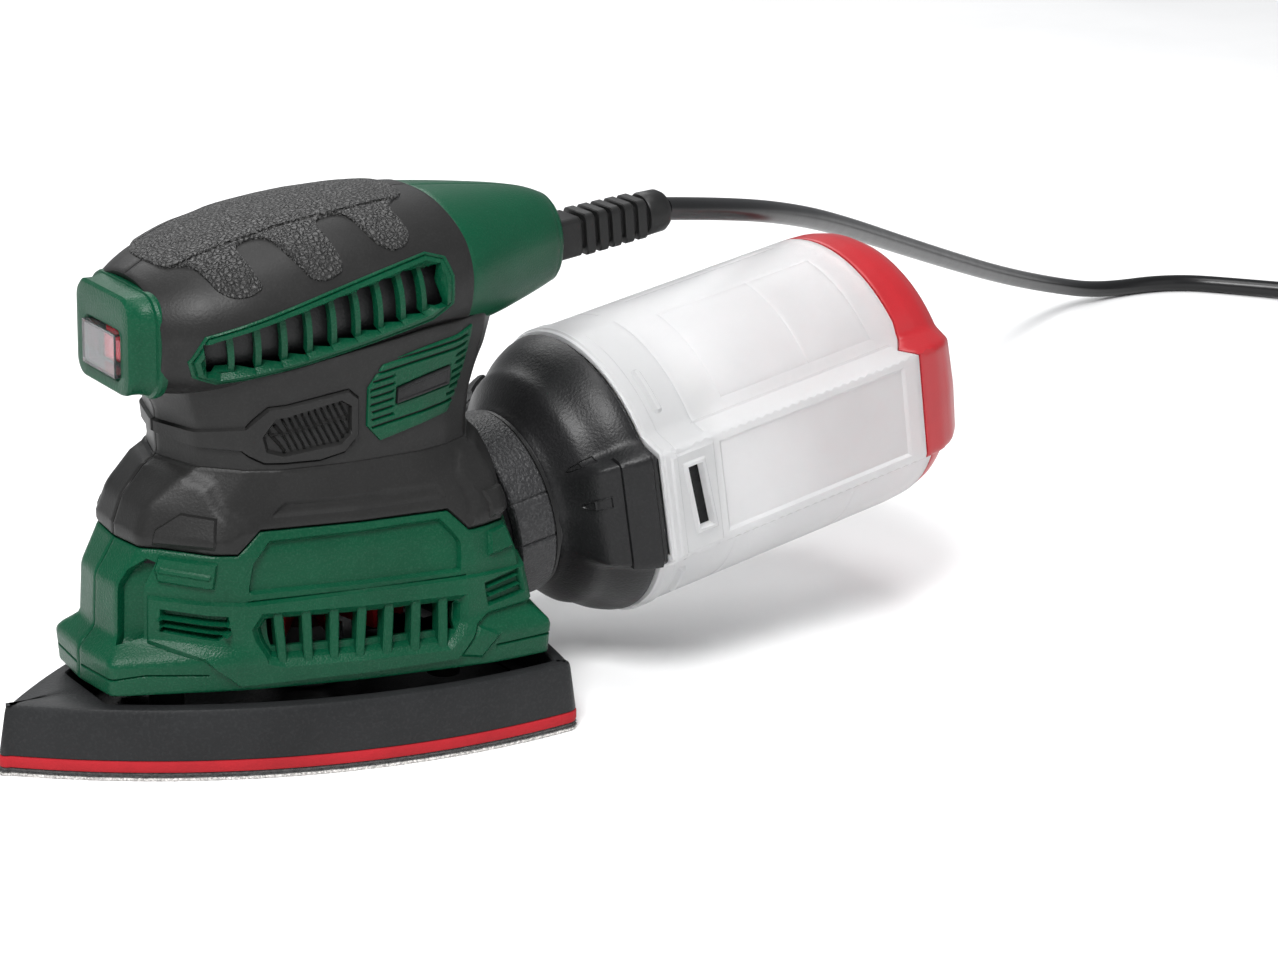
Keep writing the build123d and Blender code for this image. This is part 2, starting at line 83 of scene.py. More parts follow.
def make_camera():
    back = Vector((sin(VIEW_TURN) * cos(VIEW_RISE), -cos(VIEW_TURN) * cos(VIEW_RISE), sin(VIEW_RISE)))
    right = Vector((cos(VIEW_TURN), sin(VIEW_TURN), 0.0))
    up = back.cross(right)
    right, up = (right * cos(VIEW_ROLL) + up * sin(VIEW_ROLL), up * cos(VIEW_ROLL) - right * sin(VIEW_ROLL))
    data = bpy.data.cameras.new("camera")
    data.sensor_width = SENSOR_WIDTH
    data.lens = LENS_LENGTH
    data.clip_start = 0.01
    camera = bpy.data.objects.new("camera", data)
    bpy.context.scene.collection.objects.link(camera)
    camera.location = VIEW_TARGET + back * VIEW_DISTANCE
    camera.rotation_euler = Matrix((right, up, back)).transposed().to_euler()
    bpy.context.scene.camera = camera


make_camera()


# ================================================================ materials
def new_material(name):
    material = bpy.data.materials.new(name)
    material.use_nodes = True
    tree = material.node_tree
    return material, tree, tree.nodes["Principled BSDF"]


def link(tree, a, b):
    tree.links.new(a, b)


def put(node, **values):
    """Set input sockets by name; an underscore stands for a space."""
    for key, value in values.items():
        node.inputs[key.replace("_", " ")].default_value = value


def noise(tree, scale, detail=4.0, rough=0.55):
    coords = tree.nodes.new("ShaderNodeTexCoord")
    node = tree.nodes.new("ShaderNodeTexNoise")
    put(node, Scale=scale, Detail=detail, Roughness=rough)
    link(tree, coords.outputs["Object"], node.inputs["Vector"])
    return node


def ramp(tree, source, low, high, a=0.35, b=0.65):
    node = tree.nodes.new("ShaderNodeValToRGB")
    node.color_ramp.elements[0].position = a
    node.color_ramp.elements[0].color = (*low, 1.0)
    node.color_ramp.elements[1].position = b
    node.color_ramp.elements[1].color = (*high, 1.0)
    link(tree, source, node.inputs["Fac"])
    return node


def shade(colour, k):
    return tuple(min(1.0, c * k) for c in colour)


def bump_chain(tree, bsdf, layers):
    """Stack of bump nodes: each layer is (height socket, distance in metres, strength)."""
    previous = None
    for height, distance, strength in layers:
        node = tree.nodes.new("ShaderNodeBump")
        put(node, Distance=distance, Strength=strength)
        link(tree, height, node.inputs["Height"])
        if previous:
            link(tree, previous.outputs["Normal"], node.inputs["Normal"])
        previous = node
    link(tree, previous.outputs["Normal"], bsdf.inputs["Normal"])


def plastic(name, colour, rough=0.45, grain=2200.0, grain_depth=0.00008, mottle=0.12, level=0.5,
            strength=0.6, painted_glint=0.0):
    """Moulded plastic: spark texture with painted glints (bright specks in the base colour that stand for
    highlights off the grain), slow colour drift and uneven gloss.
    """
    material, tree, bsdf = new_material(name)
    drift = noise(tree, 45.0, 5.0, 0.6)
    fine = noise(tree, grain, 2.0, 0.5)
    mixed = ramp(tree, drift.outputs["Fac"], shade(colour, 1 - mottle), shade(colour, 1 + mottle))
    # painted glints: bright spots mixed into the base colour stand in for highlights off the spark grain
    glint_spots = ramp(tree, fine.outputs["Fac"], (0, 0, 0), (painted_glint, painted_glint, painted_glint), 0.5, 0.66)
    lit = tree.nodes.new("ShaderNodeMixRGB")
    link(tree, glint_spots.outputs["Color"], lit.inputs["Fac"])
    link(tree, mixed.outputs["Color"], lit.inputs["Color1"])
    lit.inputs["Color2"].default_value = tuple(min(1.0, 2.0 * c + 0.05) for c in colour) + (1.0,)
    link(tree, lit.outputs["Color"], bsdf.inputs["Base Color"])
    gloss = tree.nodes.new("ShaderNodeMapRange")
    put(gloss, To_Min=rough - 0.07, To_Max=rough + 0.09)
    link(tree, noise(tree, 130.0, 6.0, 0.65).outputs["Fac"], gloss.inputs["Value"])
    link(tree, gloss.outputs["Result"], bsdf.inputs["Roughness"])
    put(bsdf, Specular_IOR_Level=level)
    bump_chain(tree, bsdf, [(fine.outputs["Fac"], grain_depth, strength)])
    return material


def leather_grip(name, colour):
    """Coarse leather-like moulded pad: wrinkled cells with fine pores over them, and painted shade darkening
    the creases between the cells.
    """
    material, tree, bsdf = new_material(name)
    coords = tree.nodes.new("ShaderNodeTexCoord")
    warp = noise(tree, 260.0, 3.0, 0.6)
    mix = tree.nodes.new("ShaderNodeMixRGB")
    mix.blend_type = "ADD"
    put(mix, Fac=0.0025)
    link(tree, coords.outputs["Object"], mix.inputs["Color1"])
    link(tree, warp.outputs["Color"], mix.inputs["Color2"])
    cells = tree.nodes.new("ShaderNodeTexVoronoi")
    cells.feature = "DISTANCE_TO_EDGE"
    put(cells, Scale=820.0)
    link(tree, mix.outputs["Color"], cells.inputs["Vector"])
    soft = tree.nodes.new("ShaderNodeMapRange")
    put(soft, From_Max=0.32)
    link(tree, cells.outputs["Distance"], soft.inputs["Value"])
    lumps = noise(tree, 900.0, 3.0, 0.6)
    # painted shade: the colour darkens to a quarter towards the creases between the cells
    tone = ramp(tree, soft.outputs["Result"], shade(colour, 0.25), shade(colour, 1.5), 0.0, 0.9)
    link(tree, tone.outputs["Color"], bsdf.inputs["Base Color"])
    put(bsdf, Roughness=0.5, Specular_IOR_Level=0.45)
    bump_chain(tree, bsdf, [(soft.outputs["Result"], 0.0007, 1.0), (lumps.outputs["Fac"], 0.0005, 0.9)])
    return material


def metal(name, colour, rough=0.3, stripes=0.0):
    material, tree, bsdf = new_material(name)
    drift = noise(tree, 180.0, 6.0, 0.6)
    tone = ramp(tree, drift.outputs["Fac"], shade(colour, 0.85), shade(colour, 1.1))
    link(tree, tone.outputs["Color"], bsdf.inputs["Base Color"])
    put(bsdf, Metallic=1.0, Roughness=rough)
    layers = [(noise(tree, 1500.0, 4.0).outputs["Fac"], 0.00004, 0.5)]
    if stripes:
        coords = tree.nodes.new("ShaderNodeTexCoord")
        wave = tree.nodes.new("ShaderNodeTexWave")
        wave.bands_direction = "Z"
        put(wave, Scale=stripes)
        link(tree, coords.outputs["Object"], wave.inputs["Vector"])
        layers.append((wave.outputs["Fac"], 0.0002, 0.8))
    bump_chain(tree, bsdf, layers)
    return material


def fibre(name, low, high, scale=900.0, rough=0.9, depth=0.0004):
    material, tree, bsdf = new_material(name)
    grain = noise(tree, scale, 6.0, 0.75)
    tone = ramp(tree, grain.outputs["Fac"], low, high, 0.4, 0.62)
    link(tree, tone.outputs["Color"], bsdf.inputs["Base Color"])
    put(bsdf, Roughness=rough, Sheen_Weight=0.3)
    bump_chain(tree, bsdf, [(grain.outputs["Fac"], depth, 0.9)])
    return material


def clear(name, colour, rough, transmission, depth=0.00006):
    """Translucent moulded plastic, its frost from fine grain and uneven haze."""
    material, tree, bsdf = new_material(name)
    haze = noise(tree, 35.0, 5.0, 0.6)
    tone = ramp(tree, haze.outputs["Fac"], shade(colour, 0.97), shade(colour, 1.03))
    link(tree, tone.outputs["Color"], bsdf.inputs["Base Color"])
    gloss = tree.nodes.new("ShaderNodeMapRange")
    put(gloss, To_Min=max(0.02, rough - 0.08), To_Max=rough + 0.08)
    link(tree, haze.outputs["Fac"], gloss.inputs["Value"])
    link(tree, gloss.outputs["Result"], bsdf.inputs["Roughness"])
    put(bsdf, Transmission_Weight=transmission, IOR=1.45)
    bump_chain(tree, bsdf, [(noise(tree, 1800.0, 3.0).outputs["Fac"], depth, 0.5)])
    return material


# the last argument of each plastic sets how strong its painted glints (bright specks standing for
# highlights) are
GREEN = plastic("green_plastic", (0.0003, 0.047, 0.0205), 0.34, 2000.0, 0.00026, 0.1, 0.18, painted_glint=0.12)
GREEN_SMOOTH = plastic("green_smooth", (0.0003, 0.049, 0.0215), 0.32, 2200.0, 0.00014, 0.08, 0.22,
                       painted_glint=0.07)
DARK = plastic("soft_grip", (0.0130, 0.0128, 0.0126), 0.42, 1500.0, 0.00008, 0.16, 0.2, painted_glint=0.04)
PAD = leather_grip("palm_texture", (0.034, 0.0335, 0.033))
PLATE = plastic("plate_plastic", (0.0125, 0.013, 0.0138), 0.48, 1300.0, 0.00014, 0.14, 0.2, painted_glint=0.07)
BLACK = plastic("black_plastic", (0.0075, 0.0075, 0.008), 0.4, 1300.0, 0.00016, 0.15, 0.26, painted_glint=0.05)
BLACK_ROUGH = plastic("black_grained", (0.018, 0.018, 0.019), 0.42, 1300.0, 0.0004, 0.2, 0.35,
                      strength=1.0, painted_glint=0.3)
RUBBER = plastic("black_rubber", (0.0075, 0.0075, 0.0075), 0.42, 1400.0, 0.00008, 0.15, 0.28)
CORD = plastic("cord_jacket", (0.0045, 0.0045, 0.005), 0.3, 900.0, 0.00003, 0.15, 0.36)
FOAM = plastic("red_foam", (0.33, 0.010, 0.016), 0.75, 1300.0, 0.0002, 0.12, 0.25, strength=0.9)
RED = plastic("red_plastic", (0.34, 0.009, 0.014), 0.34, 1900.0, 0.00006, 0.07, 0.5)
RED_GLOSS = plastic("red_gloss", (0.60, 0.010, 0.022), 0.18, 900.0, 0.00002, 0.05, 0.5)
PILE = fibre("hook_pile", (0.006, 0.006, 0.006), (0.07, 0.07, 0.07), 1200.0)
SHEET = fibre("abrasive_sheet", (0.25, 0.24, 0.23), (0.85, 0.83, 0.8), 1600.0, 0.95, 0.0003)
PAPER = fibre("filter_paper", (0.62, 0.60, 0.54), (0.78, 0.76, 0.7), 700.0, 0.9, 0.0002)
STRAP = fibre("tie_weave", (0.01, 0.01, 0.01), (0.05, 0.05, 0.05), 1400.0)
FROST = clear("frosted_plastic", (0.90, 0.90, 0.905), 0.46, 0.68)
GLASS = clear("clear_cover", (0.94, 0.93, 0.99), 0.04, 0.98, depth=0.00001)
STEEL = metal("ground_steel", (0.6, 0.6, 0.62), 0.25)
LAMINATED = metal("laminated_steel", (0.33, 0.33, 0.35), 0.4, 260.0)
COPPER = metal("copper_wire", (0.72, 0.33, 0.16), 0.35, 180.0)
ZINC = metal("cast_zinc", (0.5, 0.5, 0.52), 0.5)
NICKEL = metal("nickel_plate", (0.75, 0.73, 0.7), 0.18)


CAD_LOOKS = {
    "screw_bosses": GREEN, "base_plate": BLACK, "dust_duct": BLACK, "filter_frame": BLACK,
    "bearing_plate": BLACK, "brush_holders": BLACK, "cord_clamp": BLACK, "switch_cover": GLASS,
    "rocker_switch": RED_GLOSS, "switch_body": BLACK, "stator_core": LAMINATED, "rotor_core": LAMINATED,
    "motor_shaft": STEEL, "lower_bearing": STEEL, "upper_bearing": STEEL, "eccentric_bearing": STEEL,
    "rocker_pin": STEEL, "field_coils": COPPER, "rotor_windings": COPPER, "commutator": COPPER,
    "brush_left": BLACK, "brush_right": BLACK, "fan": RED, "eccentric": ZINC, "flexible_legs": RUBBER,
    "adapter_seal": RUBBER, "filter_pleats": PAPER, "leg_screws": STEEL, "housing_screws": STEEL,
}
for node_name, look in CAD_LOOKS.items():
    NODES[node_name].data.materials.clear()
    NODES[node_name].data.materials.append(look)


# ================================================================ mesh helpers
SHARP = radians(32)         # angle above which an edge is shaded as a corner


def make_object(name, verts, faces, material, body):
    mesh = bpy.data.meshes.new(name)
    mesh.from_pydata([tuple(v) for v in verts], [], faces)
    mesh.validate()
    mesh.update()
    for poly in mesh.polygons:
        poly.use_smooth = True
    mesh.set_sharp_from_angle(angle=SHARP)
    piece = bpy.data.objects.new(name, mesh)
    bpy.context.scene.collection.objects.link(piece)
    mesh.materials.append(material)
    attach(piece, body)
    return piece


def loft(name, loops, material, body, closed_path=False, caps=(True, True)):
    """Skin over loops of equal count, in millimetres. Each loop runs the same way round."""
    n = len(loops[0])
    verts = [Vector(p) * MM for loop in loops for p in loop]
    faces = []
    rows = len(loops)
    for j in range(rows if closed_path else rows - 1):
        a, b = j * n, ((j + 1) % rows) * n
        for i in range(n):
            k = (i + 1) % n
            faces.append((a + i, a + k, b + k, b + i))
    if not closed_path:
        if caps[0]:
            faces.append(tuple(range(n - 1, -1, -1)))
        if caps[1]:
            faces.append(tuple(range((rows - 1) * n, rows * n)))
    piece = make_object(name, verts, faces, material, body)
    fix_normals(piece)
    return piece


def fix_normals(piece):
    bm = bmesh.new()
    bm.from_mesh(piece.data)
    bmesh.ops.remove_doubles(bm, verts=bm.verts, dist=1e-7)
    bmesh.ops.recalc_face_normals(bm, faces=bm.faces)
    bm.to_mesh(piece.data)
    bm.free()
    piece.data.set_sharp_from_angle(angle=SHARP)


def rounded_rect(width, height, radius, count=48):
    """Points of a rounded rectangle, the same share on every corner and side."""
    points = []
    per = count // 4
    for q, (sx, sy) in enumerate(((1, 1), (-1, 1), (-1, -1), (1, -1))):
        cx, cy = sx * (width / 2 - radius), sy * (height / 2 - radius)
        for i in range(per):
            a = pi / 2 * (q + i / (per - 1))
            points.append((cx + radius * cos(a), cy + radius * sin(a)))
    return points


# ================================================================ rounded control-net surfaces
def hat_weights(t, knots, r):
    """Weight of each knot at t for straight stretches between knots, rounded over r each side."""
    t = np.asarray(t, float)
    k = np.asarray(knots, float)
    out = np.zeros((len(k),) + t.shape)
    last = len(k) - 2
    for i in range(len(k) - 1):
        a, b = k[i], k[i + 1]

        def area(x):
            full = (x - a) ** 2 / (2 * (b - a))
            y = np.where(x < a, full if i == 0 else 0.0, full)
            return np.where(x > b, full if i == last else (b - a) / 2 + (x - b), y)

        rise = (area(t + r) - area(t - r)) / (2 * r)
        out[i + 1] += rise
        out[i] -= rise
    out[0] += 1
    return out


class Net:
    """A surface over a grid of points: u along a row, v from row to row, corners rounded."""

    def __init__(self, points, u, v, round_u, round_v):
        self.points = np.asarray(points, float)
        self.u, self.v, self.round_u, self.round_v = u, v, round_u, round_v
        self.end = u[-2]

    def at(self, u, v):
        wu = hat_weights(u, self.u, self.round_u)
        wv = hat_weights(v, self.v, self.round_v)
        return np.einsum("in,jn,jik->nk", wu, wv, self.points)

    def raised(self, u, v, d):
        h = 0.4
        n = np.cross(self.at(u + h, v) - self.at(u - h, v), self.at(u, v + h) - self.at(u, v - h))
        n /= np.linalg.norm(n, axis=1)[:, None]
        return self.at(u, v) + n * np.asarray(d)[:, None]


# lower body: height, then half outline from the nose centre to the rear centre
LOWER = [
    (21.5, [(-52, 0), (-50.5, 15.5), (-25, 26.5), (-16, 30), (10, 37.5), (37, 43), (44, 44.3), (61, 45),
            (66.5, 20), (68, 0)]),
    (30.5, [(-52, 0), (-51, 16.5), (-26, 28.5), (-17, 31), (10, 38.5), (38, 43.7), (46, 45), (61.5, 45.5),
            (67, 20), (69, 0)]),
    (35, [(-47.5, 0), (-46.5, 11), (-28, 24.5), (-19, 29.5), (10, 37.5), (37, 42.3), (43, 41.5), (56.5, 41),
          (64, 20), (66, 0)]),
    (49, [(-47, 0), (-46, 10.5), (-28, 25), (-20, 28.5), (10, 36), (36, 40.5), (41, 40.5), (54.5, 38),
          (63, 20), (66, 0)]),
    (57, [(-42, 0), (-41, 12), (-27, 25.5), (-19, 28.5), (10, 35.3), (35, 39), (40, 39), (52, 35),
          (61, 18), (64, 0)]),
    (68, [(-38, 0), (-37, 11), (-22, 23), (-15, 26.5), (10, 32.5), (32, 35), (38, 34.5), (50, 31),
          (58, 17), (62, 0)]),
    (78, [(-29.5, 0), (-25, 14), (-16, 23), (-8, 27), (10, 30), (30, 30.3), (38, 28.5), (46, 25),
          (54, 13), (57, 0)]),
    (90, [(-30, 0), (-26, 15), (-16, 24), (-8, 27.5), (10, 30.5), (30, 30.5), (38, 28.5), (47, 25),
          (55, 13), (58, 0)]),
    (98, [(-34, 0), (-29, 17), (-17, 26), (-8, 29), (10, 31), (30, 31), (40, 29), (50, 24),
          (60, 12), (64, 0)]),
    (106, [(-36, 0), (-31, 18), (-18, 26.5), (-8, 29.6), (10, 31.8), (30, 31.4), (41, 29.3), (53, 23),
           (63, 11), (67, 0)]),
    (115, [(-37, 0), (-32, 18), (-18, 27), (-8, 30.2), (10, 32.4), (30, 31.6), (41, 29), (54, 22),
           (66, 10), (70, 0)]),
]
LOWER_U = [0, 11.5, 34, 42.5, 73, 100, 107, 122, 141, 161]

# handle: station x, top, bottom, half width, height of the widest point
STATIONS = [
    (-44, 121, 98, 14, 111), (-38, 125.4, 97, 20, 112), (-30, 130.0, 96, 26.5, 113.5),
    (-18, 134.6, 95.5, 31, 115), (-4, 137.9, 96, 33, 116.5), (12, 139.8, 97.5, 33.5, 118),
    (28, 140.3, 99.5, 32.5, 119), (42, 139.8, 101.5, 30, 119.5), (52, 139.0, 102.5, 27, 120),
    (62, 138.0, 103.5, 22.5, 120), (72, 136.8, 105.5, 17.5, 120.5), (82, 134.8, 108, 12.8, 120.5),
    (86, 132.6, 109.5, 11, 120.5),
]
RING = 16          # handle columns from the top centre line to the bottom centre line
RING_STEP = 5.0    # spacing of those columns in u


def lower_net():
    rows = []
    for z, half in LOWER:
        near = [(x, -y, z) for x, y in half]
        rows.append([(half[1][0], half[1][1], z)] + near + [(half[-2][0], half[-2][1], z)])
    u = [-LOWER_U[1]] + LOWER_U + [2 * LOWER_U[-1] - LOWER_U[-2]]
    return Net(rows, u, [z for z, half in LOWER], 1.5, 1.3)


def handle_net():
    rows = []
    for x, top, bottom, width, wide in STATIONS:
        row = []
        for k in range(-1, RING + 2):
            c, s = cos(pi * k / RING), sin(pi * k / RING)
            if c > 0:
                z, y = wide + (top - wide) * c, abs(s) ** 0.88
            else:
                z, y = wide - (wide - bottom) * abs(c) ** 0.85, abs(s) ** 0.66
            row.append((x, -width * y * (1 if s > 0 else -1), z))
        rows.append(row)
    return Net(rows, [RING_STEP * k for k in range(-1, RING + 2)], [s[0] for s in STATIONS], 2.5, 4.5)


SKIRT_NET = lower_net()
HANDLE_NET = handle_net()


# ================================================================ moulded patches
def inset(points, d):
    out = []
    n = len(points)
    area = sum(points[i - 1][0] * points[i][1] - points[i][0] * points[i - 1][1] for i in range(n))
    turn = 1 if area > 0 else -1
    for i in range(n):
        p0, p1, p2 = (np.array(points[j % n], float) for j in (i - 1, i, i + 1))
        a, b = p1 - p0, p2 - p1
        a /= np.linalg.norm(a)
        b /= np.linalg.norm(b)
        na, nb = turn * np.array((-a[1], a[0])), turn * np.array((-b[1], b[0]))
        out.append(tuple(p1 + (na + nb) * d / max(0.35, 1 + float(na @ nb))))
    return out


def distance(points, line, closed):
    """Distance of each point from a line of points; for a closed line also which are inside."""
    p = np.asarray(points, float)
    ends = list(line[1:]) + ([line[0]] if closed else [])
    best = np.full(len(p), 1e9)
    inside = np.zeros(len(p), bool)
    for a, b in zip(line, ends):
        a, b = np.array(a, float), np.array(b, float)
        ab = b - a
        t = np.clip(((p - a) @ ab) / max(1e-9, ab @ ab), 0, 1)
        best = np.minimum(best, np.linalg.norm(p - a - t[:, None] * ab, axis=1))
        if closed and a[1] != b[1]:
            crosses = (a[1] > p[:, 1]) != (b[1] > p[:, 1])
            x = a[0] + (p[:, 1] - a[1]) / (b[1] - a[1]) * ab[0]
            inside ^= crosses & (p[:, 0] < x)
    return best, inside


def clip_u(points, low=0.0, high=None):
    """Cut away the parts of a closed outline that lie below low or above high."""
    for limit, sign in ((low, 1), (high, -1)):
        if limit is None:
            continue
        out = []
        for a, b in zip(points, list(points[1:]) + [points[0]]):
            keep_a, keep_b = sign * a[0] >= sign * limit, sign * b[0] >= sign * limit
            if keep_a:
                out.append(a)
            if keep_a != keep_b and a[0] != limit and b[0] != limit:
                t = (limit - a[0]) / (b[0] - a[0])
                out.append((limit, a[1] + t * (b[1] - a[1])))
        points = out
    return points


def spread(line, step, closed):
    ends = list(line[1:]) + ([line[0]] if closed else [])
    out = []
    for a, b in zip(line, ends):
        count = max(1, ceil(sqrt((b[0] - a[0]) ** 2 + (b[1] - a[1]) ** 2) / step))
        out += [(a[0] + (b[0] - a[0]) * i / count, a[1] + (b[1] - a[1]) * i / count) for i in range(count)]
    if not closed:
        out.append(tuple(line[-1]))
    return out


def side_lines(line, d):
    """Two lines beside an open line, d away on each side."""
    out = []
    for sign in (1, -1):
        side = []
        for i, p in enumerate(line):
            a = np.array(line[max(0, i - 1)], float)
            b = np.array(line[min(len(line) - 1, i + 1)], float)
            t = (b - a) / np.linalg.norm(b - a)
            side.append((p[0] - sign * t[1] * d, p[1] + sign * t[0] * d))
        out.append(side)
    return out


def crease_lines(net, low, high):
    """Lines along the net's rounded corners, so that mesh edges follow them."""
    lines = []
    for knot in net.u:
        for shift in (-0.9 * net.round_u, 0, 0.9 * net.round_u):
            if low[0] + 0.5 < knot + shift < high[0] - 0.5:
                lines.append([(knot + shift, low[1] + 0.3), (knot + shift, high[1] - 0.3)])
    for knot in net.v:
        for shift in (-0.9 * net.round_v, 0, 0.9 * net.round_v):
            if low[1] + 0.5 < knot + shift < high[1] - 0.5:
                lines.append([(low[0] + 0.3, knot + shift), (high[0] - 0.3, knot + shift)])
    return lines


def soft(points, radius):
    """Closed outline with its corners rounded."""
    steps = 4
    out = []
    n = len(points)
    for i in range(n):
        p0, p1, p2 = (np.array(points[j % n], float) for j in (i - 1, i, i + 1))
        a, b = p0 - p1, p2 - p1
        la, lb = np.linalg.norm(a), np.linalg.norm(b)
        cut = min(radius, 0.45 * la, 0.45 * lb)
        start, end = p1 + a / la * cut, p1 + b / lb * cut
        for k in range(steps + 1):
            t = k / steps
            out.append(tuple((1 - t) ** 2 * start + 2 * t * (1 - t) * p1 + t * t * end))
    return out


def patch_mesh(net, outline, raised=(), grooves=(), holes=(), grid=1.6, base=0.0, thick=1.6, rim=0.6,
               creases=False, weld=False):
    """Vertices (near side, mm) and faces of one moulded shell cut out of a net.
    raised: (outline, height, slope width); grooves: (line, half width, height); rim: edge rounding."""
    domain = clip_u(outline, 0.0, net.end)
    loops = [(domain, True)]
    if rim:
        loops += [(clip_u(inset(outline, rim * k), 0.0, net.end), True) for k in (0.3, 1.0)]
    for shape, height, slope in raised:
        loops += [(shape, True), (inset(shape, slope), True)]
    for line, width, height in grooves:
        loops.append((line, False))
        loops += [(side, False) for side in side_lines(line, width)]
    for hole in holes:
        loops.append((hole, True))
    low = np.min(domain, axis=0)
    high = np.max(domain, axis=0)
    if creases:
        loops += [(line, False) for line in crease_lines(net, low, high)]
    points, edges = [], []
    for line, closed in loops:
        dense = spread(line, grid, closed)
        start = len(points)
        points += dense
        count = len(dense)
        edges += [(start + i, start + (i + 1) % count) for i in range(count if closed else count - 1)]
    across, along = np.meshgrid(np.arange(low[0], high[0], grid), np.arange(low[1], high[1], grid * 0.87))
    across = across + (np.arange(across.shape[0]) % 2)[:, None] * grid / 2
    cloud = np.stack([across.ravel(), along.ravel()], 1)
    keep = distance(cloud, domain, True)[1]
    for line, closed in loops:
        keep &= distance(cloud, line, closed)[0] > 0.42 * grid
    points += [tuple(p) for p in cloud[keep]]
    flat, _, tris, _, _, _ = delaunay_2d_cdt([Vector(p) for p in points], edges, [], 0, 1e-4)
    flat = np.array([tuple(p) for p in flat])
    tris = np.array([t for t in tris if len(t) == 3])
    centre = flat[tris].mean(1)
    good = distance(centre, domain, True)[1]
    for hole in holes:
        good &= ~distance(centre, hole, True)[1]
    tris = tris[good]
    used = np.unique(tris)
    remap = np.full(len(flat), -1)
    remap[used] = np.arange(len(used))
    flat, tris = flat[used], remap[tris]
    lift = np.full(len(flat), float(base))
    for shape, height, slope in raised:
        d, inside = distance(flat, shape, True)
        lift += height * np.where(inside, np.clip(d / slope, 0, 1), 0)
    for line, width, height in grooves:
        lift += height * np.clip(1 - distance(flat, line, False)[0] / width, 0, 1)
    if rim:
        x = 1 - np.clip(distance(flat, outline, True)[0] / rim, 0, 1)
        lift -= rim * (1 - np.sqrt(np.clip(1 - x * x, 0, 1)))
    u, v = flat[:, 0], flat[:, 1]
    front = net.raised(u, v, lift)
    back = net.raised(u, v, np.minimum(lift, base) - thick)
    flip = np.cross(flat[tris[:, 1]] - flat[tris[:, 0]], flat[tris[:, 2]] - flat[tris[:, 0]]) < 0
    tris[flip] = tris[flip][:, ::-1]
    edge_use = {}
    for t in tris:
        for a, b in ((t[0], t[1]), (t[1], t[2]), (t[2], t[0])):
            edge_use[(a, b)] = True
    n = len(flat)
    faces = [tuple(int(i) for i in t) for t in tris]
    faces += [tuple(int(i) + n for i in t[::-1]) for t in tris]
    seam = (flat[:, 0] < 1e-4) | (flat[:, 0] > net.end - 1e-4)
    for a, b in edge_use:
        if weld and seam[a] and seam[b]:
            continue
        if (b, a) not in edge_use:
            faces.append((int(b), int(a), int(a) + n, int(b) + n))
    return np.vstack([front, back]), faces


def mirrored(verts, faces):
    return verts * np.array((1, -1, 1)), [f[::-1] for f in faces]


def patch_pair(name, net, outline, material, replaced, **shape):
    """A left piece and its mirror image on the right; replaced is the CAD name without its side."""
    verts, faces = patch_mesh(net, outline, **shape)
    pieces = []
    for side, (v, f) in (("left", (verts, faces)), ("right", mirrored(verts, faces))):
        piece = make_object(name + "_" + side, v * MM, f, material, "machine")
        fix_normals(piece)
        if replaced:
            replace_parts(piece, replaced + "_" + side)
        pieces.append(piece)
    return pieces


def extra_pair(slot, *args, **shape):
    """A left and right piece that stand for no CAD node of their own."""
    for piece in patch_pair(*args, None, **shape):
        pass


def patch_whole(name, net, outline, material, body, replaced, **shape):
    """One piece that crosses the middle plane."""
    verts, faces = patch_mesh(net, outline, weld=True, **shape)
    v2, f2 = mirrored(verts, faces)
    n = len(verts)
    piece = make_object(name, np.vstack([verts, v2]) * MM, faces + [tuple(i + n for i in f) for f in f2],
                        material, body)
    fix_normals(piece)
    if replaced:
        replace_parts(piece, replaced)
    return piece


# ================================================================ skirt, shoulder and neck
BOUNDARY = [(18, 58.5), (40, 57.5), (44.5, 63), (101, 63), (106.5, 57.5), (114, 57)]
DUCT_HOLE = [(161 - 19 * sin(pi * k / 12), 46 + 19 * cos(pi * k / 12)) for k in range(13)]


